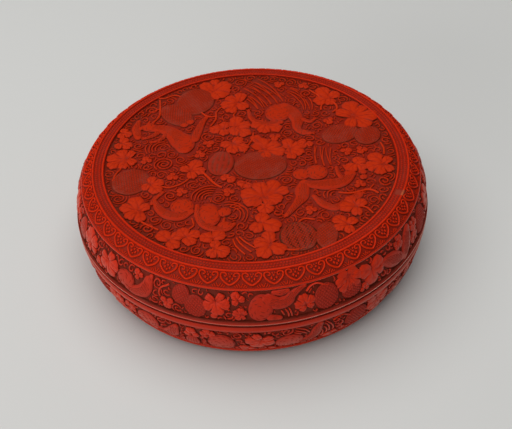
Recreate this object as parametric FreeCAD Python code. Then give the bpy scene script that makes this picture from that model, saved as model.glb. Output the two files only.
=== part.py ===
# Round carved lacquer box with a lift-off lid, in millimetres.
# +Z is up. The origin is the middle of the plane that the foot ring stands on.
# Each half is built up as the real one is: boards and bent hoops, cloth ground, carved coat and lining.
# A point of a section is given as its radius and its height.

import FreeCAD, Part
import math
import os

# Whole box
rim_radius = 189.5
base_height = 59.0
lid_height = 53.0

# Layers of both halves, from the carved ground inwards
coat = 2.0
cloth = 0.8
core = 7.2
lining = 1.0

# Lid, top
field_depth = 2.6
ridge_width = 2.2
ridge_round = 0.7
band_width = 8.2
band_depth = 1.3
shoulder_run = 11.7
shoulder_step = 1.8
shoulder_fall = 11.4
shoulder_swell = 0.5

# Lid, carving on the field
carving_root = 1.0
lobe_rise = 1.5
oval_rise = 1.1
oval_crown_rise = 1.5
swirl_rise = 0.9
swirl_width = 1.4
swirl_pitch = 3.6
swirl_start = 1.5

# Lid, shoulder bead and wall
shoulder_bead_run = 0.3
shoulder_bead_reach = 1.1
shoulder_bead_fall = 1.2
wall_top_fall = 14.0
lid_wall_lean = 7.8
lid_wall_swell = 2.1

# Lid, rim
rim_reach = 3.5
rim_height = 6.8
rim_fillet_height = 1.0
rim_bead_round = 1.3
rim_bead_height = 4.4
seam_inset = 2.1

# Base, rim and wall
band_drop = 1.4
base_band_height = 7.2
base_band_round = 0.8
base_band_inset = 0.3
base_wall_lean = 12.6
base_wall_swell = 3.0

# Base, bottom
bottom_height = 3.4
wall_foot_height = 9.4
foot_bead_run = 2.2
foot_bead_rise = 2.2
foot_bead_reach = 1.6
foot_bead_fall = 2.8
bottom_run = 4.4
foot_setback = 4.0
foot_width = 7.0
foot_coat = 1.4
foot_wear = 0.4
underside_coat = 2.3

# Base, lip
lip_rise = 8.6
lip_seat = 19.0
lip_wall = 3.6
lip_round = 1.2
lip_clearance = 0.4

# Boards, pins and hoops
board_count = 4
board_edge_setback = 11.0
pins_per_joint = 3
pin_radius = 1.6
pin_length = 30.0
pin_clearance = 0.05
lid_shoulder_hoop_height = 22.0
lid_wall_hoop_height = 15.5
base_lower_hoop_top = 22.0

# Old fill in the band and outer ridge of the lid
fill_length = 8.0
fill_width = 8.4
fill_azimuth = 334.1

# Anything cut away is cut past its edge by this much
overrun = 5.0

# How each corner of a section moves inwards from the carved ground to the lining's face,
# as shares of the wall: axis, edge of the flat, end of the wall arc, its middle, its other end, mouth
inward_shares = ((0, 1), (0.45, 1), (0.9, 0.5), (1, 0.15), (1, 0), (1, 0))

# Carving on the field. Places and sizes are shares of the field's radius, with x to the right and y away.
# Each row is one leaf, and a lobe is (x, y, radius), of which the foot and the top have these shares.
lobe_foot_share = 0.66
lobe_top_share = 0.50
leaf_shares = (
    (
        (-0.05, 0.72, 0.05), (-0.12, 0.70, 0.04), (-0.14, 0.62, 0.04),
        (-0.12, 0.56, 0.04), (-0.03, 0.60, 0.04),
    ),
    ((-0.18, 0.87, 0.05), (-0.21, 0.76, 0.05), (-0.31, 0.88, 0.04), (-0.24, 0.93, 0.03)),
    ((-0.08, 0.43, 0.04), (-0.03, 0.37, 0.03), (-0.03, 0.28, 0.04), (-0.09, 0.29, 0.04)),
    ((-0.17, 0.39, 0.03), (-0.24, 0.33, 0.03), (-0.18, 0.29, 0.03)),
    ((0.05, 0.36, 0.03), (0.11, 0.31, 0.04), (0.19, 0.32, 0.04)),
    ((0.57, 0.74, 0.04), (0.65, 0.70, 0.04), (0.53, 0.62, 0.04), (0.60, 0.60, 0.04)),
    ((0.75, 0.53, 0.06), (0.68, 0.45, 0.06), (0.73, 0.33, 0.05), (0.83, 0.32, 0.05), (0.86, 0.42, 0.05)),
    (
        (-0.82, 0.10, 0.03), (-0.81, 0.01, 0.03), (-0.88, 0.12, 0.03),
        (-0.95, 0.06, 0.03), (-0.87, -0.03, 0.03),
    ),
    ((-0.89, 0.36, 0.03), (-0.90, 0.31, 0.03)),
    ((-0.88, 0.25, 0.03), (-0.92, 0.19, 0.03), (-0.86, 0.19, 0.03)),
    ((-0.66, -0.19, 0.03), (-0.70, -0.26, 0.03), (-0.64, -0.29, 0.04)),
    (
        (-0.76, -0.40, 0.04), (-0.70, -0.45, 0.04), (-0.72, -0.56, 0.04),
        (-0.82, -0.45, 0.03), (-0.79, -0.53, 0.03),
    ),
    ((-0.37, -0.05, 0.04), (-0.34, -0.12, 0.03), (-0.40, -0.16, 0.04), (-0.45, -0.09, 0.03)),
    ((-0.17, 0.16, 0.04), (-0.08, 0.20, 0.04), (-0.05, 0.11, 0.03), (-0.12, 0.10, 0.04)),
    ((0.05, 0.21, 0.04), (0.09, 0.16, 0.04), (0.11, 0.01, 0.04), (0.19, 0.05, 0.04), (0.17, 0.12, 0.03)),
    ((0.27, 0.15, 0.04), (0.34, 0.10, 0.03), (0.33, 0.04, 0.04), (0.29, -0.01, 0.03)),
    (
        (-0.03, -0.38, 0.05), (-0.02, -0.45, 0.04), (0.07, -0.32, 0.04),
        (0.14, -0.30, 0.04), (0.21, -0.36, 0.03),
    ),
    ((0.16, -0.44, 0.05), (0.08, -0.52, 0.05)),
    ((0.05, -0.61, 0.04), (0.12, -0.69, 0.04), (0.02, -0.70, 0.04)),
    ((0.09, -0.78, 0.04), (0.04, -0.83, 0.04), (0.15, -0.90, 0.05), (0.06, -0.92, 0.04)),
    ((-0.57, -0.74, 0.03), (-0.50, -0.82, 0.03), (-0.44, -0.71, 0.03), (-0.40, -0.79, 0.03)),
    ((-0.30, -0.77, 0.04), (-0.21, -0.76, 0.04)),
    ((-0.24, -0.83, 0.03), (-0.26, -0.90, 0.03), (-0.20, -0.91, 0.03)),
    ((0.55, -0.67, 0.04), (0.62, -0.68, 0.04), (0.60, -0.75, 0.04)),
    ((0.70, -0.51, 0.04), (0.60, -0.55, 0.04), (0.66, -0.60, 0.04)),
    ((0.73, -0.10, 0.04), (0.68, -0.16, 0.04)),
    (
        (0.85, -0.07, 0.04), (0.83, -0.16, 0.04), (0.93, -0.10, 0.04),
        (0.86, -0.20, 0.04), (0.93, -0.19, 0.03),
    ),
)

# Melons, then the haunches of the squirrels: (x, y, half length, half width) and the turn of the length
oval_share = 0.9
oval_crown_share = 0.6
oval_shares = (
    ((-0.38, 0.69, 0.16, 0.135), 74),
    ((-0.52, 0.53, 0.14, 0.09), 128),
    ((-0.81, -0.20, 0.13, 0.12), 60),
    ((0.07, -0.08, 0.175, 0.145), 5),
    ((-0.20, -0.04, 0.125, 0.09), 80),
    ((0.64, 0.22, 0.13, 0.095), 25),
    ((0.83, 0.19, 0.10, 0.085), 60),
    ((0.28, -0.79, 0.12, 0.115), 100),
    ((0.45, -0.80, 0.11, 0.065), 80),
    ((-0.46, 0.20, 0.11, 0.075), 102),
    ((0.22, 0.50, 0.11, 0.09), 70),
    ((0.44, -0.19, 0.075, 0.07), 0),
    ((-0.45, -0.47, 0.078, 0.075), 0),
    ((-0.28, -0.56, 0.11, 0.07), 97),
)

# Swirls, as (x, y) and the turn of the first half round, with the count of half rounds
swirl_shares = (
    ((-0.70, 0.60), 20, 3),
    ((-0.59, -0.03), 60, 5),
    ((-0.67, -0.66), 0, 3),
    ((0.35, -0.09), 110, 2),
    ((0.88, -0.31), 150, 3),
    ((0.16, -0.57), 40, 2),
    ((0.44, 0.72), 90, 3),
)

UP = FreeCAD.Vector(0, 0, 1)
CENTRE = FreeCAD.Vector(0, 0, 0)
FULL_TURN = 360
HALF_TURN = 180

# Heights and radii that follow
wall = coat + cloth + core + lining
overall_height = base_height + lid_height
ground_radius = rim_radius - rim_reach
wall_top_radius = ground_radius - lid_wall_lean
shoulder_radius = wall_top_radius - shoulder_run
ridge_b_radius = shoulder_radius - ridge_width / 2
ridge_a_radius = ridge_b_radius - band_width - ridge_width
field_radius = ridge_a_radius - ridge_width / 2
seam_radius = rim_radius - seam_inset
wall_foot_radius = ground_radius - base_wall_lean
bottom_radius = wall_foot_radius - bottom_run
foot_outer = bottom_radius - foot_setback
foot_inner = foot_outer - foot_width
lip_bottom = base_height - lip_seat
lip_outer = ground_radius - wall - lip_clearance
lip_inner = lip_outer - lip_wall
band_bottom = base_height - band_drop - base_band_height
core_depth = coat + cloth
lining_depth = coat + cloth + core
lip_seat_radius = ground_radius - lining_depth
lid_boards_radius = shoulder_radius - board_edge_setback
base_boards_radius = bottom_radius - board_edge_setback


def at(radius, height):
    return FreeCAD.Vector(radius, 0, height)


def swollen_middle(start, end, swell):
    """The middle point of an arc from start to end that stands outwards from its chord by swell."""
    chord = end - start
    outwards = FreeCAD.Vector(-chord.z, 0, chord.x).normalize()
    if outwards.x < 0:
        outwards = outwards * -1
    return (start + end) * 0.5 + outwards * swell


def line(start, end):
    return Part.makeLine(start, end)


def arc(start, middle, end):
    return Part.Arc(start, middle, end).toShape()


def lines(*points):
    return [line(a, b) for a, b in zip(points, points[1:])]


def turned(edges, angle=FULL_TURN):
    """The solid that a closed section makes when it is turned about the box's axis."""
    return Part.Face(Part.Wire(edges)).revolve(CENTRE, UP, angle)


def ring(inner, outer, low, high, angle=FULL_TURN):
    corners = (at(inner, low), at(outer, low), at(outer, high), at(inner, high), at(inner, low))
    return turned(lines(*corners), angle)


# Section of the carved ground: axis, edge of the flat, arc start, arc middle, arc end, mouth
lid_arc_start = at(wall_top_radius, overall_height - wall_top_fall)
lid_arc_end = at(ground_radius, base_height + rim_height)
lid_ground = (
    at(0, overall_height - field_depth),
    at(shoulder_radius, overall_height - field_depth),
    lid_arc_start,
    swollen_middle(lid_arc_start, lid_arc_end, lid_wall_swell),
    lid_arc_end,
    at(ground_radius, base_height),
)
base_arc_start = at(wall_foot_radius, wall_foot_height)
base_arc_end = at(ground_radius, band_bottom)
base_ground = (
    at(0, bottom_height),
    at(bottom_radius, bottom_height),
    base_arc_start,
    swollen_middle(base_arc_start, base_arc_end, base_wall_swell),
    base_arc_end,
    at(ground_radius, base_height),
)


def sunk(ground, depth, rise):
    """The section's corners moved in by a depth. rise is 1 where inwards is up and -1 where it is down."""
    moved = []
    for corner, (inward_share, upward_share) in zip(ground, inward_shares):
        move = FreeCAD.Vector(-inward_share * depth, 0, upward_share * depth * rise)
        moved.append(corner + move)
    return moved


def section(corners):
    """Edges through the six corners, from the axis to the mouth."""
    axis, flat_edge, arc_start, arc_middle, arc_end, mouth = corners
    return [
        line(axis, flat_edge),
        line(flat_edge, arc_start),
        arc(arc_start, arc_middle, arc_end),
        line(arc_end, mouth),
    ]


def layer(ground, rise, outer_depth, inner_depth):
    """The whole cup of material between two depths."""
    outer = sunk(ground, outer_depth, rise)
    inner = sunk(ground, inner_depth, rise)
    edges = section(outer) + section(inner)
    edges.append(line(outer[0], inner[0]))
    edges.append(line(outer[-1], inner[-1]))
    return turned(Part.sortEdges(edges)[0])


def lid_layer(outer_depth, inner_depth):
    return layer(lid_ground, -1, outer_depth, inner_depth)


def base_layer(outer_depth, inner_depth):
    return layer(base_ground, 1, outer_depth, inner_depth)


def ridge(middle_radius, crown, inner_foot, outer_foot):
    """Edges over a round-topped ridge, from the foot of its inner side to the foot of its outer side."""
    inner = middle_radius - ridge_width / 2
    outer = middle_radius + ridge_width / 2
    spring = crown - ridge_round
    edges = [line(at(inner, inner_foot), at(inner, spring))]
    edges.append(arc(at(inner, spring), at(middle_radius, crown), at(outer, spring)))
    edges.append(line(at(outer, spring), at(outer, outer_foot)))
    return edges


def lid_coat():
    """The red coat of the lid, with its sunk field, two ridges, shoulder, beads and wall."""
    field = overall_height - field_depth
    band = overall_height - band_depth
    shoulder_start = at(shoulder_radius, overall_height - shoulder_step)
    shoulder_end = at(wall_top_radius - shoulder_bead_run, overall_height - shoulder_fall)
    bead_crown = at(
        wall_top_radius + shoulder_bead_reach,
        overall_height - shoulder_fall - shoulder_bead_fall,
    )
    rim_top = base_height + rim_height
    bead_top = rim_top - rim_fillet_height
    bead_bottom = bead_top - rim_bead_height
    bead_foot = rim_radius - rim_bead_round
    edges = [line(lid_ground[0], at(field_radius, field))]
    edges += ridge(ridge_a_radius, overall_height, field, band)
    band_start = at(ridge_a_radius + ridge_width / 2, band)
    edges.append(line(band_start, at(ridge_b_radius - ridge_width / 2, band)))
    edges += ridge(ridge_b_radius, overall_height, band, shoulder_start.z)
    shoulder_middle = swollen_middle(shoulder_start, shoulder_end, shoulder_swell)
    edges.append(arc(shoulder_start, shoulder_middle, shoulder_end))
    edges.append(arc(shoulder_end, bead_crown, lid_arc_start))
    edges.append(arc(*lid_ground[2:5]))
    edges += lines(lid_arc_end, at(bead_foot, rim_top), at(bead_foot, bead_top))
    bead_middle = at(rim_radius, (bead_top + bead_bottom) / 2)
    edges.append(arc(at(bead_foot, bead_top), bead_middle, at(bead_foot, bead_bottom)))
    inner = sunk(lid_ground, coat, -1)
    edges += lines(at(bead_foot, bead_bottom), at(seam_radius, bead_bottom), at(seam_radius, base_height))
    edges.append(line(at(seam_radius, base_height), inner[-1]))
    edges += section(inner)
    edges.append(line(inner[0], lid_ground[0]))
    return turned(Part.sortEdges(edges)[0])


def base_coat():
    """The red coat of the base, from its rim band down the carved wall to the outside of the foot."""
    inner = sunk(base_ground, coat, 1)
    band_top = base_height - band_drop
    band_crown = at(rim_radius - base_band_inset, (band_top + band_bottom) / 2)
    band_edge = rim_radius - base_band_inset - base_band_round
    bead_start = at(wall_foot_radius - foot_bead_run, bottom_height + foot_bead_rise)
    bead_crown = at(wall_foot_radius + foot_bead_reach, wall_foot_height - foot_bead_fall)
    foot_face = foot_outer + foot_coat
    edges = lines(inner[-1], at(seam_radius, base_height), at(seam_radius, band_top))
    edges.append(line(at(seam_radius, band_top), at(band_edge, band_top)))
    edges.append(arc(at(band_edge, band_top), band_crown, at(band_edge, band_bottom)))
    edges.append(line(at(band_edge, band_bottom), base_arc_end))
    edges.append(arc(*base_ground[2:5]))
    edges.append(arc(base_arc_start, bead_crown, bead_start))
    edges += lines(bead_start, base_ground[1], at(foot_face, bottom_height), at(foot_face, foot_wear))
    edges += lines(at(foot_face, foot_wear), at(foot_outer, foot_wear), at(foot_outer, inner[0].z), inner[1])
    edges += section(inner)[1:]
    return turned(Part.sortEdges(edges)[0])


def fill_block():
    """The stretch of the band and its outer ridge that broke out and was filled."""
    low = overall_height - field_depth
    high = overall_height + overrun
    angle = math.degrees(fill_length / ridge_b_radius)
    block = ring(shoulder_radius - fill_width, shoulder_radius, low, high, angle)
    block.rotate(CENTRE, UP, fill_azimuth)
    return block


def on_field(x_share, y_share, height):
    """A place on the carved field, at a height above its floor."""
    floor = overall_height - field_depth
    return FreeCAD.Vector(x_share * field_radius, y_share * field_radius, floor + height)


def lobe(x_share, y_share, size_share):
    """One rounded lobe of a leaf, narrower at the top, rooted in the coat."""
    size = size_share * field_radius
    root = on_field(x_share, y_share, -carving_root)
    return Part.makeCone(size * lobe_foot_share, size * lobe_top_share, carving_root + lobe_rise, root, UP)


def oval(x_share, y_share, long_share, wide_share, turn):
    """A melon or a haunch: an oval step with a smaller one on it."""
    tiers = []
    for share, rise in ((oval_share, oval_rise), (oval_crown_share, oval_crown_rise)):
        half_long = long_share * field_radius * share
        half_wide = wide_share * field_radius * share
        outline = Part.Ellipse(CENTRE, half_long, half_wide).toShape()
        tier = Part.Face(Part.Wire(outline)).extrude(UP * (carving_root + rise))
        tier.rotate(CENTRE, UP, turn)
        tier.translate(on_field(x_share, y_share, -carving_root))
        tiers.append(tier)
    return tiers[0].fuse(tiers[1])


def swirl(x_share, y_share, turn, half_rounds):
    """A flat line that winds outwards in half rounds, whose middles lie either side of its own."""
    parts = []
    for n in range(half_rounds):
        radius = swirl_start + (n + 0.5) * swirl_pitch / 2
        side = 1 if n % 2 else -1
        half = ring(radius - swirl_width / 2, radius + swirl_width / 2, -carving_root, swirl_rise, HALF_TURN)
        half.rotate(CENTRE, UP, HALF_TURN * n)
        half.translate(FreeCAD.Vector(side * swirl_pitch / 4, 0, 0))
        parts.append(half)
    whole = parts[0].fuse(parts[1:])
    whole.rotate(CENTRE, UP, turn)
    whole.translate(on_field(x_share, y_share, 0))
    return whole


def field_carving():
    """The main raised motifs of the field, each rooted in the coat below it."""
    motifs = [lobe(*lobe_share) for row in leaf_shares for lobe_share in row]
    motifs += [oval(*place_shares, turn) for place_shares, turn in oval_shares]
    motifs += [swirl(*place_shares, turn, half_rounds) for place_shares, turn, half_rounds in swirl_shares]
    return motifs


def joint_places(radius):
    """Where the joints between a disc's boards lie, along X."""
    width = 2 * radius / board_count
    return [width * n - radius for n in range(1, board_count)]


def pins(radius, height, extra):
    """Pins across every board joint, made larger by extra for their holes."""
    found = []
    for place in joint_places(radius):
        reach = math.sqrt(radius ** 2 - place ** 2) - pin_length / 2
        for n in range(pins_per_joint):
            y = reach * (2 * (n + 1) / (pins_per_joint + 1) - 1)
            start = FreeCAD.Vector(place - pin_length / 2 - extra, y, height)
            found.append(Part.makeCylinder(
                pin_radius + extra, pin_length + 2 * extra, start, FreeCAD.Vector(1, 0, 0)))
    return found


def boards(radius, low, high):
    """The boards of a disc, with holes for their pins."""
    disc = Part.makeCylinder(radius, high - low, at(0, low), UP)
    disc = disc.cut(Part.makeCompound(pins(radius, (low + high) / 2, pin_clearance)))
    edges = [-radius - overrun] + joint_places(radius) + [radius + overrun]
    cut_boards = []
    for left, right in zip(edges, edges[1:]):
        corner = FreeCAD.Vector(left, -radius - overrun, low - overrun)
        size = 2 * (radius + overrun)
        cut_boards.append(disc.common(Part.makeBox(right - left, size, high - low + 2 * overrun, corner)))
    return cut_boards


def hoop(core_cup, inner, low, high):
    """The length of a core between two heights, outside the boards."""
    return core_cup.common(ring(inner, rim_radius + overrun, low, high))


def lid_pieces():
    top = overall_height - field_depth
    boards_top = top - core_depth
    boards_low = top - lining_depth
    core_cup = lid_layer(core_depth, lining_depth)
    shoulder_low = overall_height - lid_shoulder_hoop_height
    wall_low = shoulder_low - lid_wall_hoop_height
    whole_coat = lid_coat().fuse(field_carving())
    block = fill_block()
    pieces = {}
    for n, board in enumerate(boards(lid_boards_radius, boards_low, boards_top), 1):
        pieces[f"lid_board_{n}"] = board
    pieces["lid_board_pins"] = Part.makeCompound(pins(lid_boards_radius, (boards_low + boards_top) / 2, 0))
    pieces["lid_shoulder_hoop"] = hoop(core_cup, lid_boards_radius, shoulder_low, overall_height)
    pieces["lid_wall_hoop"] = hoop(core_cup, lid_boards_radius, wall_low, shoulder_low)
    pieces["lid_mouth_hoop"] = hoop(core_cup, lid_boards_radius, base_height, wall_low)
    pieces["lid_cloth_ground"] = lid_layer(coat, core_depth)
    pieces["lid_carved_lacquer"] = whole_coat.cut(block)
    pieces["lid_band_fill"] = whole_coat.common(block)
    pieces["lid_lining"] = lid_layer(lining_depth, wall)
    return pieces


def lip_hoop():
    """The upright lip: wide where it is glued in the base, narrower where the lid slides over it."""
    top = base_height + lip_rise
    edges = lines(
        at(lip_inner, lip_bottom),
        at(lip_seat_radius, lip_bottom),
        at(lip_seat_radius, base_height),
        at(lip_outer, base_height),
        at(lip_outer, top - lip_round),
        at(lip_outer - lip_round, top),
        at(lip_inner, top),
        at(lip_inner, lip_bottom),
    )
    return turned(edges)


def base_pieces():
    boards_low = bottom_height + core_depth
    boards_top = bottom_height + lining_depth
    core_cup = base_layer(core_depth, lining_depth)
    outside_foot = ring(foot_outer, rim_radius + overrun, 0, base_height)
    below_lip = Part.makeCylinder(rim_radius, lip_bottom, CENTRE, UP)
    pieces = {}
    for n, board in enumerate(boards(base_boards_radius, boards_low, boards_top), 1):
        pieces[f"base_board_{n}"] = board
    pieces["base_board_pins"] = Part.makeCompound(pins(base_boards_radius, (boards_low + boards_top) / 2, 0))
    pieces["base_lower_hoop"] = hoop(core_cup, base_boards_radius, 0, base_lower_hoop_top)
    pieces["base_wall_hoop"] = hoop(core_cup, base_boards_radius, base_lower_hoop_top, lip_bottom)
    rebate = ring(lip_inner, lip_seat_radius, lip_bottom, base_height)
    pieces["base_rim_hoop"] = hoop(core_cup, base_boards_radius, lip_bottom, base_height).cut(rebate)
    pieces["base_lip_hoop"] = lip_hoop()
    pieces["base_foot_hoop"] = ring(foot_inner, foot_outer, 0, boards_low)
    pieces["base_cloth_ground"] = base_layer(coat, core_depth).common(outside_foot)
    pieces["base_carved_lacquer"] = base_coat()
    pieces["base_underside_lacquer"] = Part.makeCylinder(
        foot_inner, underside_coat, at(0, boards_low - underside_coat), UP)
    pieces["base_lining"] = base_layer(lining_depth, wall).common(below_lip)
    return pieces


os.makedirs("parts", exist_ok=True)
for node, shape in {**lid_pieces(), **base_pieces()}.items():
    shape.exportStep(f"parts/{node}.step")
    print(node, len(shape.Solids), "solid(s)", round(shape.Volume), "mm3", shape.isValid())
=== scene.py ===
import math

import bpy
import numpy as np
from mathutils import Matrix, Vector


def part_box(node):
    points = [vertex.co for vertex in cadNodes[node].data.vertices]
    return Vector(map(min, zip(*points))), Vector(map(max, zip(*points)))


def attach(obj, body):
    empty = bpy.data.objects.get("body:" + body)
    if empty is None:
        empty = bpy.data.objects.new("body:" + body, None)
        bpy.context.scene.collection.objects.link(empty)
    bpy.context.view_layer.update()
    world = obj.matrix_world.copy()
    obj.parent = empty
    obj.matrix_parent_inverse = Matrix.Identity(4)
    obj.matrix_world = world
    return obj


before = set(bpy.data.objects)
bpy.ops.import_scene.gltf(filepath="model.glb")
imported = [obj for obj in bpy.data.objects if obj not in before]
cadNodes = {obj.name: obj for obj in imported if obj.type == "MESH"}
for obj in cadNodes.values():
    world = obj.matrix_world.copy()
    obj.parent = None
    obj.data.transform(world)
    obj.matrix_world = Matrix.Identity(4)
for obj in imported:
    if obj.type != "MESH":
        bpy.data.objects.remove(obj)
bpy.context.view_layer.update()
mm = 0.001
print("frame loaded,", len(cadNodes), "pieces of the turned box")


# Small helpers for node trees, used by the finishes and by the trees that make shapes.
def addNode(tree, kind, values=None, **settings):
    node = tree.nodes.new(kind)
    for key, value in settings.items():
        setattr(node, key, value)
    for key, value in (values or {}).items():
        if isinstance(value, tuple) and isinstance(value[0], bpy.types.Node):
            tree.links.new(value[0].outputs[value[1]], node.inputs[key])
        else:
            node.inputs[key].default_value = value
    return node


def compute(tree, operation, first, second=0.0, clamp=False):
    return addNode(tree, "ShaderNodeMath", {0: first, 1: second}, operation=operation, use_clamp=clamp), 0


def colour(red, green, blue):
    return (red, green, blue, 1.0)


def ramp(tree, source, stops):
    # stops are (place, grey) or (place, (red, green, blue))
    node = addNode(tree, "ShaderNodeValToRGB", {"Fac": source})
    bar = node.color_ramp
    while len(bar.elements) < len(stops):
        bar.elements.new(0.5)
    for mark, (place, shade) in zip(bar.elements, stops):
        mark.position = place
    for mark, (place, shade) in zip(bar.elements, stops):
        mark.color = colour(*shade) if isinstance(shade, tuple) else colour(shade, shade, shade)
    return node, "Color"


def noise(tree, place, scale, detail=4.0, rough=0.6):
    values = {"Vector": place, "Scale": scale, "Detail": detail, "Roughness": rough}
    return addNode(tree, "ShaderNodeTexNoise", values), "Fac"


def mapped(tree, value, low, high, start=0.0, end=1.0, **settings):
    span = {"Value": value, "From Min": low, "From Max": high, "To Min": start, "To Max": end}
    return addNode(tree, "ShaderNodeMapRange", span, **settings), "Result"


def stretched(tree, place, scale):
    return addNode(tree, "ShaderNodeMapping", {"Vector": place, "Scale": scale}), "Vector"


def axesOf(tree, place):
    return addNode(tree, "ShaderNodeSeparateXYZ", {"Vector": place})


def radiusOf(tree, parts):
    # how far a place lies from the upright middle line of the box
    squares = [compute(tree, "MULTIPLY", (parts, axis), (parts, axis)) for axis in ("X", "Y")]
    return compute(tree, "SQRT", compute(tree, "ADD", *squares))


def mixed(tree, share, first, second, blend="MIX"):
    values = {"Fac": share, "Color1": first, "Color2": second}
    return addNode(tree, "ShaderNodeMixRGB", values, blend_type=blend), "Color"


def newFinish(name):
    material = bpy.data.materials.new(name)
    material.use_nodes = True
    material.node_tree.nodes.clear()
    place = addNode(material.node_tree, "ShaderNodeTexCoord"), "Object"
    return material, material.node_tree, place


def closeFinish(tree, values, height=None, bump=0.2, depth=0.0002):
    if height is not None:
        relief = {"Height": height, "Strength": bump, "Distance": depth}
        values["Normal"] = addNode(tree, "ShaderNodeBump", relief), "Normal"
    skin = addNode(tree, "ShaderNodeBsdfPrincipled", values)
    return skin, addNode(tree, "ShaderNodeOutputMaterial", {"Surface": (skin, "BSDF")})


# Red lacquer with painted shade: the deeper in the cut, the darker it is painted, from 0 at the ground to 1
# on the tops, which are painted lightest.
redLook = {
    "pit": (0.044, 0.010, 0.003),
    "ground": (0.192, 0.017, 0.006),
    "flank": (0.270, 0.014, 0.004),
    "face": (0.360, 0.017, 0.002),
    "crown": (0.440, 0.023, 0.002),
    "dust": (0.24, 0.060, 0.042),
    "drift": 0.16,
    "spots": 0.20,
    "coat": 0.02,
    "coatRoughness": 0.30,
    "grime": 0.40,
    "sheen": 0.02,
    "sideSheen": 0.08,
    "film": 0.25,
    "filmRoughness": 0.4,
    "filmTint": (1.0, 0.84, 0.66),
    "bump": 0.22,
    "bumpDepth": 0.16 * mm,
    "wallTop": (97.0, 101.0),  # heights in mm between which the walls' gloss gives way to the top's
}
redStops = {"pit": 0.0, "ground": 0.22, "flank": 0.50, "face": 0.78, "crown": 1.0}
redGrain = {"drift": 22.0, "spots": 260.0, "grime": 75.0, "scuff": 420.0, "tool": 900.0, "brush": 130.0}
# the walls, shoulder and coats: a copy of the red with less yellow, its tones painted lighter than the top's
# as painted light on the walls
sideLook = {"ground": (0.20, 0.012, 0.005), "flank": (0.30, 0.013, 0.004), "face": (0.405, 0.015, 0.002),
            "crown": (0.48, 0.019, 0.002), "grime": 0.16}
lidCoatLook = {**sideLook, "film": 1.0}
baseCoatLook = {**sideLook, "film": 0.40}


def redFinish(name, depthOf, change=None):
    look = {**redLook, **(change or {})}
    material, tree, place = newFinish(name)
    depth = depthOf(tree, place)
    drift = compute(tree, "SUBTRACT", noise(tree, place, redGrain["drift"], 5.0), 0.5)
    spots = compute(tree, "SUBTRACT", noise(tree, place, redGrain["spots"], 4.0, 0.7), 0.5)
    depth = compute(tree, "ADD", depth, compute(tree, "MULTIPLY", drift, look["drift"]))
    depth = compute(tree, "ADD", depth, compute(tree, "MULTIPLY", spots, look["spots"]), True)
    # painted shade and highlight: the colour follows the depth tone, dark in the pit and ground, light on
    # the crowns
    body = ramp(tree, depth, [(stop, look[shade]) for shade, stop in redStops.items()])
    grime = noise(tree, place, redGrain["grime"], 6.0, 0.65)
    grime = ramp(tree, grime, [(0.44, 0.0), (0.72, look["grime"])])
    low = ramp(tree, depth, [(0.25, 1.0), (0.75, 0.12)])
    grime = mixed(tree, 1.0, grime, low, "MULTIPLY")
    body = mixed(tree, grime, body, colour(*look["dust"]))
    gloss = ramp(tree, depth, [(0.15, 0.70), (0.75, 0.46), (1.0, 0.36)])
    scuff = ramp(tree, noise(tree, place, redGrain["scuff"], 3.0), [(0.40, 0.0), (0.80, 0.16)])
    gloss = mixed(tree, 1.0, gloss, scuff, "ADD")
    tool = noise(tree, place, redGrain["tool"], 3.0, 0.6)
    brushed = noise(tree, place, redGrain["brush"], 3.0, 0.5)
    surface = compute(tree, "ADD", tool, compute(tree, "MULTIPLY", brushed, 2.0))
    # the handled walls shine more than the top
    height = axesOf(tree, place), "Z"
    foot, top = (level * mm for level in look["wallTop"])
    sheen = mapped(tree, height, foot, top, look["sideSheen"], look["sheen"])
    film = mapped(tree, height, foot, top, look["film"], 0.0)
    film = compute(tree, "MULTIPLY", film, ramp(tree, depth, [(0.35, 0.0), (0.75, 1.0)]))
    values = {"Base Color": body, "Roughness": gloss, "Coat Weight": look["coat"],
              "Coat Roughness": look["coatRoughness"], "Specular IOR Level": sheen, "Sheen Weight": film,
              "Sheen Roughness": look["filmRoughness"], "Sheen Tint": colour(*look["filmTint"])}
    closeFinish(tree, values, surface, look["bump"], look["bumpDepth"])
    return material


def carvedDepth(tree, place):
    return addNode(tree, "ShaderNodeAttribute", attribute_name="relief"), "Fac"


coatCut = {"ringEdge": 166.45, "fieldEdge": 153.6, "ridgeDarkFrom": 134.0, "ridgeDarkTone": 0.45,
           "raised": (109.5, 111.0), "raisedTone": (0.23, 0.70)}


def bandTones(tree, value, marks):
    # marks are (height or radius in mm, depth)
    first, last = marks[0][0], marks[-1][0]
    share = mapped(tree, value, first * mm, last * mm)
    return ramp(tree, share, [((mark - first) / (last - first), shade) for mark, shade in marks])


def turnedDepth(bands, rings=None):
    # the coats of the lid and base take their painted shade from the height and the radius where they are
    # turned
    def depthOf(tree, place):
        parts = axesOf(tree, place)
        wall = bandTones(tree, (parts, "Z"), bands)
        if rings is None:
            return wall
        radius = radiusOf(tree, parts)
        top = bandTones(tree, radius, rings)
        fieldEdge = coatCut["fieldEdge"] * mm
        # painted shade on the field floor: darker where it lies lower
        low, high = (level * mm for level in coatCut["raised"])
        raised = mapped(tree, (parts, "Z"), low, high, *coatCut["raisedTone"])
        # the field floor is darker towards the ridge
        ridgeDark = mapped(tree, radius, coatCut["ridgeDarkFrom"] * mm, fieldEdge, 1.0, coatCut["ridgeDarkTone"])
        raised = compute(tree, "MULTIPLY", raised, ridgeDark)
        top = mixed(tree, compute(tree, "LESS_THAN", radius, fieldEdge), top, raised)
        inner = compute(tree, "LESS_THAN", radius, coatCut["ringEdge"] * mm)
        return mixed(tree, inner, wall, top)
    return depthOf


# tones by height and radius, painted shade and highlight: beads and ridges light, grooves and ground dark,
# with a painted highlight on the lower part of the lid's mouth bead
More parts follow.
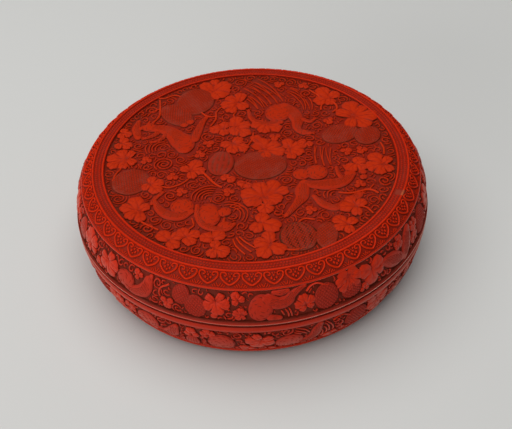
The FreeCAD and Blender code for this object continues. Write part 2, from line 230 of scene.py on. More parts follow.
lidBands = [
    (58.9, 0.06), (60.2, 0.10), (60.8, 0.75), (61.4, 0.97), (62.8, 0.95), (63.4, 0.35), (65.2, 0.10),
    (67.0, 0.11), (97.4, 0.11), (98.0, 0.30), (98.6, 0.85), (99.6, 0.95), (100.4, 0.80), (100.8, 0.22),
    (110.0, 0.22), (110.6, 0.75), (112.0, 0.90),
]
lidRings = [
    (150.0, 0.20), (153.7, 0.16), (154.1, 0.70), (155.0, 0.95), (155.9, 0.80), (156.4, 0.27),
    (164.0, 0.27), (164.5, 0.74), (165.4, 0.97), (166.6, 0.85),
]
baseBands = [
    (0.0, 0.20), (3.0, 0.45), (5.4, 0.70), (6.6, 0.85), (8.9, 0.70), (9.8, 0.11), (49.6, 0.11),
    (50.5, 0.20), (51.2, 0.64), (54.0, 0.72), (57.0, 0.62), (57.8, 0.15), (59.1, 0.10),
]
carvedRed = redFinish("carved_red_lacquer", carvedDepth)
sideRed = redFinish("side_red_lacquer", carvedDepth, sideLook)
lidRed = redFinish("lid_red_coat", turnedDepth(lidBands, lidRings), lidCoatLook)
baseRed = redFinish("base_red_coat", turnedDepth(baseBands), baseCoatLook)

fillLook = {"paste": (0.40, 0.080, 0.026), "edge": (0.27, 0.040, 0.014), "band": (0.22, 0.022, 0.009),
            "ridge": (163.7, 164.5), "cloud": 160.0, "grain": 1400.0, "gloss": 0.1}


def fillFinish():
    # pale on the ridge, and stained to match in the band
    material, tree, place = newFinish("old_fill")
    cloud = noise(tree, place, fillLook["cloud"], 5.0, 0.6)
    body = ramp(tree, cloud, [(0.32, fillLook["edge"]), (0.62, fillLook["paste"])])
    near, far = (radius * mm for radius in fillLook["ridge"])
    ridge = mapped(tree, radiusOf(tree, axesOf(tree, place)), near, far)
    body = mixed(tree, ridge, colour(*fillLook["band"]), body)
    grain = noise(tree, place, fillLook["grain"], 4.0)
    values = {"Base Color": body, "Roughness": ramp(tree, grain, [(0.3, 0.55), (0.8, 0.72)]),
              "Specular IOR Level": fillLook["gloss"]}
    closeFinish(tree, values, grain, 0.3, 0.0002)
    return material


blackLook = {"deep": (0.006, 0.005, 0.005), "worn": (0.030, 0.020, 0.015), "coat": 0.35,
             "coatRoughness": 0.18, "cloud": 26.0, "brush": (90.0, 90.0, 1400.0), "fine": 800.0}


def blackFinish(name, wear):
    material, tree, place = newFinish(name)
    cloud = noise(tree, place, blackLook["cloud"], 6.0, 0.65)
    body = ramp(tree, cloud, [(0.45, blackLook["deep"]), (0.45 + 0.4 / wear, blackLook["worn"])])
    lines = noise(tree, stretched(tree, place, blackLook["brush"]), 1.0, 3.0)
    fine = noise(tree, place, blackLook["fine"], 3.0)
    gloss = ramp(tree, cloud, [(0.40, 0.24), (0.75, 0.24 + 0.12 * wear)])
    values = {"Base Color": body, "Roughness": gloss, "Coat Weight": blackLook["coat"],
              "Coat Roughness": blackLook["coatRoughness"]}
    closeFinish(tree, values, compute(tree, "ADD", lines, fine), 0.10, 0.0001)
    return material


seatLook = {"height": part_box("base_rim_hoop")[1][2], "reach": 0.7 * mm, "coat": (0.020, 0.014, 0.011)}


def seatCoat(tree, place, body):
    # the faces where lid and base meet are coated black
    values = {0: (axesOf(tree, place), "Z"), 1: seatLook["height"], 2: seatLook["reach"]}
    near = addNode(tree, "ShaderNodeMath", values, operation="COMPARE"), 0
    return mixed(tree, near, body, colour(*seatLook["coat"]))


woodLook = {"early": (0.46, 0.29, 0.155), "late": (0.25, 0.135, 0.062), "along": (4.0, 60.0, 60.0),
            "bend": 9.0, "bendShare": 0.6, "grain": 5.0, "pores": 30.0}


def woodFinish():
    material, tree, place = newFinish("core_wood")
    bent = noise(tree, place, woodLook["bend"], 3.0)
    along = stretched(tree, place, woodLook["along"])
    grain = noise(tree, along, woodLook["grain"], 6.0, 0.65)
    swirl = compute(tree, "ADD", grain, compute(tree, "MULTIPLY", bent, woodLook["bendShare"]))
    body = ramp(tree, swirl, [(0.52, woodLook["late"]), (0.86, woodLook["early"])])
    body = seatCoat(tree, place, body)
    pores = noise(tree, along, woodLook["pores"], 2.0)
    values = {"Base Color": body, "Roughness": ramp(tree, pores, [(0.3, 0.60), (0.8, 0.78)])}
    closeFinish(tree, values, compute(tree, "ADD", grain, pores), 0.3, 0.0003)
    return material


bambooLook = {"skin": (0.56, 0.42, 0.20), "fibre": (0.34, 0.22, 0.09), "along": (700.0, 20.0, 700.0)}


def bambooFinish():
    material, tree, place = newFinish("bamboo_pin")
    fibre = noise(tree, stretched(tree, place, bambooLook["along"]), 1.0, 4.0)
    body = ramp(tree, fibre, [(0.35, bambooLook["fibre"]), (0.65, bambooLook["skin"])])
    values = {"Base Color": body, "Roughness": ramp(tree, fibre, [(0.3, 0.45), (0.8, 0.62)])}
    closeFinish(tree, values, fibre, 0.3, 0.0002)
    return material


clothLook = {"thread": 1300.0, "ash": (0.235, 0.205, 0.175), "weft": (0.36, 0.31, 0.25), "cloud": 60.0}


def clothFinish():
    material, tree, place = newFinish("cloth_ground")
    parts = axesOf(tree, place)
    threads = []
    for axis in ("X", "Y", "Z"):
        run = compute(tree, "MULTIPLY", (parts, axis), clothLook["thread"] * math.pi)
        threads.append(compute(tree, "ABSOLUTE", compute(tree, "SINE", run)))
    weave = compute(tree, "MULTIPLY", compute(tree, "ADD", threads[0], threads[1]), threads[2])
    cloud = noise(tree, place, clothLook["cloud"], 5.0)
    worn = compute(tree, "MULTIPLY", weave, cloud)
    body = ramp(tree, worn, [(0.1, clothLook["ash"]), (0.8, clothLook["weft"])])
    body = seatCoat(tree, place, body)
    values = {"Base Color": body, "Roughness": ramp(tree, cloud, [(0.3, 0.82), (0.8, 0.94)])}
    closeFinish(tree, values, weave, 0.4, 0.0003)
    return material


finishes = {
    "lid_carved_lacquer": lidRed,
    "base_carved_lacquer": baseRed,
    "lid_band_fill": fillFinish(),
    "lid_lining": blackFinish("black_lining", 1.0),
    "base_underside_lacquer": blackFinish("black_underside", 2.2),
    "base_lip_hoop": blackFinish("black_lip", 1.6),
}
finishes["base_lining"] = finishes["lid_lining"]
finishes["base_foot_hoop"] = finishes["base_lip_hoop"]
wood, bamboo, cloth = woodFinish(), bambooFinish(), clothFinish()
for name, node in cadNodes.items():
    finish = finishes.get(name)
    if finish is None:
        finish = bamboo if "pins" in name else cloth if "cloth" in name else wood
    node.data.materials.clear()
    node.data.materials.append(finish)
print("finishes made")


# The turned faces that the carving lies on, as radius and height in mm, from the foot of the face upwards.
carvedFaces = {
    "field": {"floor": 109.6, "edge": 152.9},
    "band": {"floor": 110.7, "girth": 160.2},
    "shoulder": {"foot": (177.9, 100.6), "top": (166.5, 110.2), "swell": 0.5, "girth": 172.2},
    "lidWall": {"foot": (186.0, 65.8), "top": (178.2, 98.0), "swell": 2.1, "girth": 184.0},
    "baseWall": {"foot": (173.4, 9.4), "top": (186.0, 50.4), "swell": 3.0, "girth": 182.0},
}
for label, face in carvedFaces.items():
    face["finish"] = carvedRed if label == "field" else sideRed


def wallHeight(face):
    return math.dist(face["foot"], face["top"])


def layOn(face, flat):
    # flat points (along, up, height) in mm become places on the face, in metres
    flat = np.asarray(flat, float).reshape(-1, 3)
    along, up, height = flat.T
    if "girth" not in face:
        return np.stack([along, up, face["floor"] + height], 1) * mm
    turn = along / face["girth"]
    if "floor" in face:
        radius, z = face["girth"] - up, face["floor"] + height
    else:
        foot, top = np.array(face["foot"]), np.array(face["top"])
        rise = top - foot
        length = np.hypot(*rise)
        outward = np.array([rise[1], -rise[0]]) / length
        share = (up / length)[:, None]
        path = foot + rise * share + outward * 4 * face["swell"] * share * (1 - share)
        slope = rise + outward * 4 * face["swell"] * (1 - 2 * share)
        slope /= np.linalg.norm(slope, axis=1)[:, None]
        radius = path[:, 0] + slope[:, 1] * height
        z = path[:, 1] - slope[:, 0] * height
    return np.stack([radius * np.cos(turn), radius * np.sin(turn), z], 1) * mm


def newCarving():
    return {"points": [], "relief": [], "faces": [], "count": 0, "discs": []}


def addLoops(carving, loops, relief):
    # joins loops of equal length; the first and last loop are closed with one face each
    start, size = carving["count"], len(loops[0])
    for ring, depth in zip(loops, relief):
        carving["points"].append(np.asarray(ring, float))
        carving["relief"].append(np.asarray(depth, float))
    for row in range(len(loops) - 1):
        here = start + row * size
        for step in range(size):
            after = (step + 1) % size
            carving["faces"].append((here + step, here + size + step, here + size + after, here + after))
    last = start + (len(loops) - 1) * size
    carving["faces"].append(tuple(range(start, start + size)))
    carving["faces"].append(tuple(range(last + size - 1, last - 1, -1)))
    carving["count"] += size * len(loops)


def newObject(name, data):
    thing = bpy.data.objects.new(name, data)
    bpy.context.scene.collection.objects.link(thing)
    return thing


sharpAngle = 38  # degrees between two faces of the carving, from which their edge stays sharp


def finishPiece(piece, body):
    mesh = piece.data
    mesh.shade_smooth()
    mesh.set_sharp_from_angle(angle=math.radians(sharpAngle))
    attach(piece, body)
    return piece


def carvedPiece(name, carving, face, body):
    mesh = bpy.data.meshes.new(name)
    mesh.from_pydata(layOn(face, np.concatenate(carving["points"])), [], carving["faces"])
    depth = mesh.attributes.new("relief", "FLOAT", "POINT")
    depth.data.foreach_set("value", np.concatenate(carving["relief"]).clip(0, 1).astype(np.float32))
    mesh.materials.append(face["finish"])
    mesh.update()
    return finishPiece(newObject(name, mesh), body)


# Leaves: rounded lobes round a stalk point, steep sides, crowned faces and cut veins.
leafCut = {
    "height": 2.3, "edge": 0.60, "sunk": 1.2, "flare": 0.45, "rimDrop": 0.08,
    "full": 1.17, "uneven": 0.17, "least": 1.4, "blade": 1.22, "stalk": 0.30, "spokes": 126,
    "veinWidth": 0.55, "veinDepth": 0.55, "veinEnd": 0.72, "veinFade": 0.45, "fork": 0.85,
    "branch": (0.55, 0.62, 0.9),  # ahead, aside, and the length of both in shares of the lobe
    "crease": 0.22, "creaseDepth": 1.3, "notch": 0.50, "notchWidth": 0.30, "tip": -0.06, "tipWidth": 0.13,
    "teeth": (13, 22), "tooth": 1.0, "rings": (0.10, 0.24, 0.38, 0.52, 0.66, 0.78, 0.88, 0.95, 1.0),
}
# painted shade on the leaves: veins, creases, the rim and the flanks darker, the swell of each lobe lighter
leafTones = {"face": 0.86, "swell": 0.20, "vein": 0.50, "crease": 0.85, "rim": 0.10, "flank": 0.16}


def stalkWay(centre, lobes):
    # the stalk comes in through the widest gap between the lobes
    ways = np.sort([math.atan2(y - centre[1], x - centre[0]) for x, y, size in lobes])
    gaps = np.diff(np.append(ways, ways[0] + 2 * math.pi))
    widest = int(np.argmax(gaps))
    return ways[widest] + gaps[widest] / 2


def leaf(carving, centre, lobes, height=None, tone=1.0, spokes=None):
    height = height or leafCut["height"]
    spokes = spokes or leafCut["spokes"]
    centre = np.array(centre, float)
    angles = np.arange(spokes) / spokes * 2 * math.pi
    rays = np.stack([np.cos(angles), np.sin(angles)], 1)
    reach = np.full(spokes, leafCut["least"])
    veins = []
    stalk = stalkWay(centre, lobes)
    spread = np.mean([math.dist(centre, lobe[:2]) for lobe in lobes])
    heart = centre + np.array([math.cos(stalk), math.sin(stalk)]) * spread * leafCut["stalk"]
    # the lobes away from the stalk are fuller
    ways = [math.atan2(y - centre[1], x - centre[0]) for x, y, size in lobes]
    fuller = [leafCut["full"] * (1 - leafCut["uneven"] * math.cos(way - stalk)) for way in ways]
    lobes = [(x, y, size * full) for (x, y, size), full in zip(lobes, fuller)]
    ahead, aside, branch = leafCut["branch"]
    for x, y, size in lobes:
        offset = np.array([x, y]) - centre
        along = rays @ offset
        inside = size ** 2 - (offset @ offset - along ** 2)
        reach = np.maximum(reach, np.where(inside > 0, along + np.sqrt(np.maximum(inside, 0)), 0))
        distance = math.hypot(*offset)
        heading = offset / max(distance, 0.01)
        tip = centre + heading * (distance + size * leafCut["veinEnd"])
        veins.append((heart, tip))
        side = np.array([-heading[1], heading[0]])
        root = centre + heading * distance * leafCut["fork"]
        for hand in (-1, 1):
            veins.append((root, root + (heading * ahead + side * hand * aside) * size * branch))
        carving["discs"].append((x, y, size))
    reach = np.maximum(reach, leafCut["blade"] * spread)
    away = np.angle(np.exp(1j * (angles - stalk)))
    reach *= 1 - leafCut["notch"] * np.exp(-(away / leafCut["notchWidth"]) ** 2)
    for _ in range(2):
        reach = 0.25 * np.roll(reach, 1) + 0.5 * reach + 0.25 * np.roll(reach, -1)
    for way in ways:
        away = np.angle(np.exp(1j * (angles - way)))
        reach *= 1 + leafCut["tip"] * np.exp(-(away / leafCut["tipWidth"]) ** 2)
    for teeth in leafCut["teeth"]:
        bite = np.abs(np.sin(angles * teeth / 2 + centre[0])) - 0.6
        reach += leafCut["tooth"] * bite * (reach / 12).clip(0.3, 1) / 1.4
    loops, reliefs = [], []
    for share in leafCut["rings"]:
        spots = centre + rays * (reach * share)[:, None]
        cut = np.zeros(spokes)
        for first, second in veins:
            run = second - first
            place = ((spots - first) @ run / (run @ run)).clip(0, 1)
            gap = np.linalg.norm(spots - first - place[:, None] * run, axis=1)
            depth = np.exp(-(gap / leafCut["veinWidth"]) ** 2) * (1 - leafCut["veinFade"] * place)
            cut = np.maximum(cut, depth)
        swells = [1 - ((spots[:, 0] - x) ** 2 + (spots[:, 1] - y) ** 2) / size ** 2 for x, y, size in lobes]
        swells = np.sort(swells, 0)
        swell = swells[-1].clip(0, 1)
        # the creases between the lobes stay clear of the middle of the blade
        crease = np.exp(-((swells[-1] - swells[-2]) / leafCut["crease"]) ** 2)
        crease *= min(1.0, max(0.0, share * 2.5 - 0.9))
        crown = leafCut["edge"] + (1 - leafCut["edge"]) * np.sqrt(swell)
        top = height * crown - cut * leafCut["veinDepth"] - crease * leafCut["creaseDepth"]
        top -= height * leafCut["rimDrop"] * share ** 6
        loops.append(np.column_stack([spots, top]))
        # painted shade: the tone is darker in veins, creases and at the rim, lighter on each lobe's swell
        shade = leafTones["face"] + leafTones["swell"] * swell - leafTones["vein"] * cut
        shade = shade - leafTones["crease"] * crease - leafTones["rim"] * share ** 8
        reliefs.append(tone * shade)
    rim = loops[-1][:, 2]
    # the flanks are painted dark down to the ground, as painted shade
    for step, depth in ((0.25, leafTones["flank"]), (1.0, 0.0)):
        spots = centre + rays * (reach + leafCut["flare"] * step)[:, None]
        level = rim * (1 - step) - leafCut["sunk"] * step
        loops.append(np.column_stack([spots, level]))
        reliefs.append(np.full(spokes, depth * tone))
    addLoops(carving, loops, reliefs)


# Melons: crowned ovals whose skin is cut into lozenges or into lengthwise ribs.
melonCut = {
    "height": 2.0, "edge": 0.50, "sunk": 1.2, "spokes": 72,
    "ribDepth": 0.5, "ribTone": 0.40, "rimTone": 0.40,
    "rings": (0.12, 0.3, 0.46, 0.6, 0.72, 0.82, 0.90, 0.96, 1.0), "flanks": (1.012, 1.03),
    "pitch": 3.4, "lozenge": (0.62, 0.5), "netEdge": 0.93, "pad": 1.26, "padSunk": 0.12,
}


def melon(carving, pads, centre, halfLong, halfWide, turn=0.0, height=None, ribs=0, netted=True, tone=0.34):
    height = height or melonCut["height"]
    angles = np.arange(melonCut["spokes"]) / melonCut["spokes"] * 2 * math.pi
    spin = math.radians(turn)
    heading = np.array([math.cos(spin), math.sin(spin)])
    side = np.array([-heading[1], heading[0]])
    centre = np.array(centre, float)

    def dome(share):
        return height * (melonCut["edge"] + (1 - melonCut["edge"]) * np.sqrt(np.maximum(1 - share ** 2, 0)))

    loops, reliefs = [], []
    for share in melonCut["rings"] + melonCut["flanks"]:
        long = np.cos(angles) * halfLong * share
        wide = np.sin(angles) * halfWide * share
        spots = centre + long[:, None] * heading + wide[:, None] * side
        top = dome(np.full(len(angles), min(share, 1.0)))
        shade = np.full(len(angles), tone)
        # painted shade: rib grooves darker, the rim of a plain mound darker
        if ribs:
            across = wide / halfWide / np.sqrt(np.maximum(1 - (long / halfLong * 0.97) ** 2, 0.05))
            groove = np.abs(np.sin(across.clip(-1, 1) * math.pi * ribs / 2)) ** 8
            top -= groove * melonCut["ribDepth"]
            shade -= groove * melonCut["ribTone"]
        elif not netted:
            shade *= 1 - melonCut["rimTone"] * share ** 8
        # the skirt round the foot is painted dark, as painted shade
        if share > 1.0:
            top = np.full(len(angles), dome(np.array([1.0]))[0] * 0.7 if share < 1.02 else -melonCut["sunk"])
            shade[:] = 0.12 if share < 1.02 else 0.0
        loops.append(np.column_stack([spots, top]))
        reliefs.append(shade)
    addLoops(carving, loops, reliefs)
    steps = int(max(halfLong, halfWide) / melonCut["pitch"] * 1.5) + 1
    if netted:
        for row in range(-steps, steps + 1):
            for column in range(-steps, steps + 1):
                long = (row + column) * melonCut["pitch"] * melonCut["lozenge"][0]
                wide = (row - column) * melonCut["pitch"] * melonCut["lozenge"][1]
                share = math.hypot(long / halfLong, wide / halfWide)
                if share < melonCut["netEdge"]:
                    spot = centre + long * heading + wide * side
                    level = float(dome(np.array([share]))[0]) - melonCut["padSunk"]
                    pads.append((spot[0], spot[1], level, spin, melonCut["pad"] * (1 - 0.25 * share ** 3)))
    for share in (-0.6, -0.3, 0, 0.3, 0.6):
        spot = centre + heading * share * max(halfLong - halfWide, 0) * 1.6
        carving["discs"].append((spot[0], spot[1], halfWide))


# Squirrels and limbs: strokes of changing width with a domed top, and round masses for haunch and head.
strokeCut = {"height": 1.98, "edge": 0.50, "sunk": 1.2, "step": 1.3, "flare": 0.4, "least": 0.6,
             "section": (-1.04, -1, -0.88, -0.6, -0.3, 0, 0.3, 0.6, 0.88, 1, 1.04), "caps": (60, 30, 8)}


def smoothPath(points, step):
    # a smooth line through the points, whose last number is the width
    points = np.asarray(points, float)
    ends = np.vstack([2 * points[0] - points[1], points, 2 * points[-1] - points[-2]])
    ends[0, 2:], ends[-1, 2:] = points[0, 2:], points[-1, 2:]
    line = []
    for a, b, c, d in zip(ends, ends[1:], ends[2:], ends[3:]):
        count = max(2, int(np.hypot(*(c - b)[:2]) / step))
        for t in np.arange(count) / count:
            line.append(0.5 * (2 * b + (c - a) * t + (2 * a - 5 * b + 4 * c - d) * t ** 2
                               + (3 * b - a - 3 * c + d) * t ** 3))
    line.append(points[-1])
    return np.array(line)


def stroke(carving, points, height=None, tone=0.80):
    height = height or strokeCut["height"]
    line = smoothPath(points, strokeCut["step"])
    ahead = np.gradient(line[:, :2], axis=0)
    ahead /= np.linalg.norm(ahead, axis=1)[:, None]
    lineWidths = list(line[:, 2].clip(strokeCut["least"]))
    firstWidth, lastWidth = lineWidths[0], lineWidths[-1]
    # both ends are rounded by a few narrower sections
    capTurns = [math.radians(turn) for turn in strokeCut["caps"]]
    caps = [math.sin(turn) for turn in capTurns]
    centres = [line[0, :2] - ahead[0] * math.cos(turn) * firstWidth * 0.5 for turn in capTurns[::-1]]
    centres += list(line[:, :2])
    centres += [line[-1, :2] + ahead[-1] * math.cos(turn) * lastWidth * 0.5 for turn in capTurns]
    widths = [firstWidth * cap for cap in caps[::-1]] + lineWidths + [lastWidth * cap for cap in caps]
    headings = [ahead[0]] * len(caps) + list(ahead) + [ahead[-1]] * len(caps)
    across = np.array(strokeCut["section"])
    arch = np.sqrt(1 - across.clip(-1, 1) ** 2)
    over = np.abs(across) > 1
    loops, reliefs = [], []
    for centre, width, heading in zip(centres, widths, headings):
        side = np.array([heading[1], -heading[0]])
        full = min(1.0, 0.55 + width / 12)
        crown = np.where(over, 0.7 * strokeCut["edge"], strokeCut["edge"] + (1 - strokeCut["edge"]) * arch)
        top = height * full * crown
        spots = centre + across[:, None] * side * width / 2
        foot = width / 2 + strokeCut["flare"]
        nearFoot, farFoot = [np.append(centre + side * foot * hand, -strokeCut["sunk"]) for hand in (-1, 1)]
        loops.append(np.vstack([nearFoot, np.column_stack([spots, top]), farFoot]))
        # painted shade: a stroke's edges darker than its crown, its flanks and feet dark
        reliefs.append(np.concatenate([[0], np.where(over, 0.12, tone * (0.68 + 0.32 * arch)), [0]]))
        carving["discs"].append((centre[0], centre[1], width / 2))
    addLoops(carving, loops, reliefs)


def mound(carving, centre, halfLong, halfWide, turn=0.0, height=None, tone=0.80):
    height = height or strokeCut["height"]
    melon(carving, [], centre, halfLong, halfWide, turn, height, netted=False, tone=tone)


furCut = {"row": 3.3, "gap": 1.6, "length": 4.2, "width": 0.75, "height": 0.36, "line": 1.2, "sides": 4,
          "tone": 1.0}


def furAlong(fur, points, height):
    # short hairs in rows along a limb or a back
    line = smoothPath(points, 0.5)
    along = np.concatenate([[0], np.cumsum(np.linalg.norm(np.diff(line[:, :2], axis=0), axis=1))])
    rows = np.arange(1.2, along[-1] - furCut["length"], furCut["row"])
    for index, distance in enumerate(rows):
        x, y, width = [np.interp(distance, along, line[:, part]) for part in range(3)]
        ahead = [np.interp(distance + 1.0, along, line[:, part]) for part in range(2)]
        heading = math.atan2(ahead[1] - y, ahead[0] - x)
        count = int(width * 0.62 / furCut["gap"])
        for place in range(count):
            offset = (place - (count - 1) / 2 + (index % 2) * 0.5) * furCut["gap"]
            share = min(abs(offset) / (width / 2), 1.0)
            if share > 0.72:
                continue
            full = min(1.0, 0.55 + width / 12)
            level = height * full * (strokeCut["edge"] + (1 - strokeCut["edge"]) * math.sqrt(1 - share ** 2))
            addHairlet(fur, x - math.sin(heading) * offset, y + math.cos(heading) * offset, heading, level)


def furRound(fur, centre, halfLong, halfWide, turn, height):
    # short hairs that sweep round a haunch or a head
    spin = math.radians(turn)
    for ring in np.arange(2.0, halfWide - 1.0, furCut["row"]):
        count = int(2 * math.pi * ring / (furCut["row"] * 1.7))
        for place in range(count):
            angle = 2 * math.pi * (place + (int(ring) % 2) * 0.5) / count
            long, wide = math.cos(angle) * ring * halfLong / halfWide, math.sin(angle) * ring
            share = ring / halfWide
            level = height * (melonCut["edge"] + (1 - melonCut["edge"]) * math.sqrt(1 - share ** 2))
            x = centre[0] + long * math.cos(spin) - wide * math.sin(spin)
            y = centre[1] + long * math.sin(spin) + wide * math.cos(spin)
            addHairlet(fur, x, y, angle + spin + 1.25, level)


def addHairlet(fur, x, y, heading, level):
    # one bent hair of three points, whose ends are sunk and thin
    long = furCut["length"]
    middle = (x + math.cos(heading) * long * 0.5, y + math.sin(heading) * long * 0.5)
    tip = (x + math.cos(heading + 0.2) * long, y + math.sin(heading + 0.2) * long)
    fur.append([(x, y, level - 0.12, 0.5), (*middle, level - 0.05, 1.0), (*tip, level - 0.12, 0.4)])


def addToes(carving, x, y, way):
    for spread in (-34, 0, 34):
        angle = math.radians(way + spread)
        tip = (x + math.cos(angle) * 4.2, y + math.sin(angle) * 4.2, 1.2)
        stroke(carving, [(x, y, 2.0), tip], strokeCut["height"] * 0.9)


# The trees for what follows a path or repeats.
def newTree(name, inputs):
    tree = bpy.data.node_groups.new(name, "GeometryNodeTree")
    tree.interface.new_socket("Geometry", in_out="INPUT", socket_type="NodeSocketGeometry")
    tree.interface.new_socket("Geometry", in_out="OUTPUT", socket_type="NodeSocketGeometry")
    for label, kind, value in inputs:
        socket = tree.interface.new_socket(label, in_out="INPUT", socket_type="NodeSocket" + kind)
        if value is not None:
            socket.default_value = value
    return tree, tree.nodes.new("NodeGroupInput")


def closeTree(tree, enter, shape, output):
    real = addNode(tree, "GeometryNodeRealizeInstances", {"Geometry": (shape, output)})
    values = {"Geometry": (real, "Geometry"), "Material": (enter, "Finish")}
    coated = addNode(tree, "GeometryNodeSetMaterial", values)
    addNode(tree, "NodeGroupOutput", {"Geometry": (coated, "Geometry")})
    return tree


def storeRelief(tree, shape, output, value):
    values = {"Geometry": (shape, output), "Name": "relief", "Value": value}
    return addNode(tree, "GeometryNodeStoreNamedAttribute", values, data_type="FLOAT", domain="POINT")


def makeVineTree():
    inputs = [("Width", "Float", 2.0), ("Height", "Float", 2.0), ("Step", "Float", 1.0), ("Sides", "Int", 8),
              ("Sunk", "Float", 0.3), ("Finish", "Material", None)]
    tree, enter = newTree("carved_vine", inputs)
    line = addNode(tree, "GeometryNodeMeshToCurve", {"Mesh": (enter, "Geometry")})
    soft = addNode(tree, "GeometryNodeCurveSplineType", {"Curve": (line, "Curve")},
                   spline_type="CATMULL_ROM")
    even = addNode(tree, "GeometryNodeResampleCurve", {"Curve": (soft, "Curve"), "Length": (enter, "Step")},
                   mode="LENGTH")
    level = addNode(tree, "GeometryNodeSetCurveNormal", {"Curve": (even, "Curve")}, mode="Z_UP")
    ring = addNode(tree, "GeometryNodeCurvePrimitiveCircle", {"Resolution": (enter, "Sides"), "Radius": 1.0})
    spot = axesOf(tree, (addNode(tree, "GeometryNodeInputPosition"), "Position"))
    wide = compute(tree, "MULTIPLY", (spot, "X"), compute(tree, "MULTIPLY", (enter, "Width"), 0.5))
    deep = compute(tree, "MULTIPLY", (spot, "Y"), (enter, "Height"))
    deep = compute(tree, "MINIMUM", deep, (enter, "Sunk"))
    shape = addNode(tree, "ShaderNodeCombineXYZ", {"X": wide, "Y": deep})
    values = {"Geometry": (ring, "Curve"), "Position": (shape, "Vector")}
    section = addNode(tree, "GeometryNodeSetPosition", values)
    # painted shade: the tone follows the height in the line's section, dark low down and light on top
    depth = compute(tree, "DIVIDE", compute(tree, "MULTIPLY", deep, -1.0), (enter, "Height"), True)
    depth = compute(tree, "POWER", depth, 1.5)
    section = storeRelief(tree, section, "Geometry", compute(tree, "ADD", depth, 0.05))
    thick = addNode(tree, "GeometryNodeInputNamedAttribute", {"Name": "thick"}, data_type="FLOAT")
    values = {"Curve": (level, "Curve"), "Profile Curve": (section, "Geometry"),
              "Scale": (thick, "Attribute"), "Fill Caps": True}
    return closeTree(tree, enter, addNode(tree, "GeometryNodeCurveToMesh", values), "Mesh")


def makePadTree():
    inputs = [("Sides", "Int", 4), ("Top", "Float", 0.6), ("Height", "Float", 0.5),
              ("Stretch", "Float", 1.0), ("Tone", "Float", 0.8), ("Finish", "Material", None)]
    tree, enter = newTree("carved_pads", inputs)
    values = {"Vertices": (enter, "Sides"), "Radius Top": (enter, "Top"), "Radius Bottom": 1.0,
              "Depth": (enter, "Height")}
    pad = addNode(tree, "GeometryNodeMeshCone", values)
    spot = axesOf(tree, (addNode(tree, "GeometryNodeInputPosition"), "Position"))
    # painted shade: the pads are darker at their foot and lighter at their top
    depth = compute(tree, "DIVIDE", (spot, "Z"), (enter, "Height"), True)
    depth = compute(tree, "MULTIPLY", compute(tree, "ADD", compute(tree, "MULTIPLY", depth, 0.75), 0.25),
                    (enter, "Tone"))
    pad = storeRelief(tree, pad, "Mesh", depth)
    turn = addNode(tree, "GeometryNodeInputNamedAttribute", {"Name": "turn"}, data_type="FLOAT")
    size = addNode(tree, "GeometryNodeInputNamedAttribute", {"Name": "size"}, data_type="FLOAT")
    spin = addNode(tree, "ShaderNodeCombineXYZ", {"Z": (turn, "Attribute")})
    long = compute(tree, "MULTIPLY", (size, "Attribute"), (enter, "Stretch"))
    scale = addNode(tree, "ShaderNodeCombineXYZ", {"X": long, "Y": (size, "Attribute"), "Z": 1.0})
    values = {"Points": (enter, "Geometry"), "Instance": (pad, "Geometry"), "Rotation": (spin, "Vector"),
              "Scale": (scale, "Vector")}
    return closeTree(tree, enter, addNode(tree, "GeometryNodeInstanceOnPoints", values), "Instances")


def makeRowTree():
    inputs = [("Count", "Int", 10), ("Pitch", "Float", 10.0), ("Motif", "Object", None),
              ("Finish", "Material", None)]
    tree, enter = newTree("row_of_motifs", inputs)
    gap = addNode(tree, "ShaderNodeCombineXYZ", {"X": (enter, "Pitch")})
    values = {"Count": (enter, "Count"), "Offset": (gap, "Vector")}
    row = addNode(tree, "GeometryNodeMeshLine", values, mode="OFFSET")
    motif = addNode(tree, "GeometryNodeObjectInfo", {"Object": (enter, "Motif"), "As Instance": True})
    values = {"Points": (row, "Mesh"), "Instance": (motif, "Geometry")}
    return closeTree(tree, enter, addNode(tree, "GeometryNodeInstanceOnPoints", values), "Instances")


vineTree, padTree, rowTree = makeVineTree(), makePadTree(), makeRowTree()


def bakeTree(name, mesh, tree, values):
    source = newObject(name, mesh)
    modifier = source.modifiers.new(tree.name, "NODES")
    modifier.node_group = tree
    for item in tree.interface.items_tree:
        if item.item_type == "SOCKET" and item.in_out == "INPUT" and item.name in values:
            modifier[item.identifier] = values[item.name]
    graph = bpy.context.evaluated_depsgraph_get()
    result = bpy.data.meshes.new_from_object(source.evaluated_get(graph))
    bpy.data.objects.remove(source)
    return result


def placeBaked(name, mesh, face, body, tone=1.0):
    spots = np.zeros(len(mesh.vertices) * 3)
    mesh.vertices.foreach_get("co", spots)
    placed = layOn(face, spots.reshape(-1, 3))
    mesh.vertices.foreach_set("co", placed.ravel())
    depth = mesh.attributes["relief"]
    shades = np.zeros(len(mesh.vertices), np.float32)
    depth.data.foreach_get("value", shades)
    depth.data.foreach_set("value", shades * tone)
    mesh.update()
    return finishPiece(newObject(name, mesh), body)


def lineMesh(lines):
    # lines of (along, up, height, thickness) become one mesh of edges for the vine tree
    spots, edges, thick = [], [], []
    for line in lines:
        first = len(spots)
        spots += [point[:3] for point in line]
        thick += [point[3] for point in line]
        edges += [(first + step, first + step + 1) for step in range(len(line) - 1)]
    mesh = bpy.data.meshes.new("lines")
    mesh.from_pydata(spots, edges, [])
    mesh.attributes.new("thick", "FLOAT", "POINT").data.foreach_set("value", thick)
    return mesh


def vinePiece(name, lines, face, body, cut):
    values = {"Width": cut["width"], "Height": cut["height"], "Step": cut["line"], "Sides": cut["sides"],
              "Finish": face["finish"]}
    return placeBaked(name, bakeTree(name, lineMesh(lines), vineTree, values), face, body, cut["tone"])


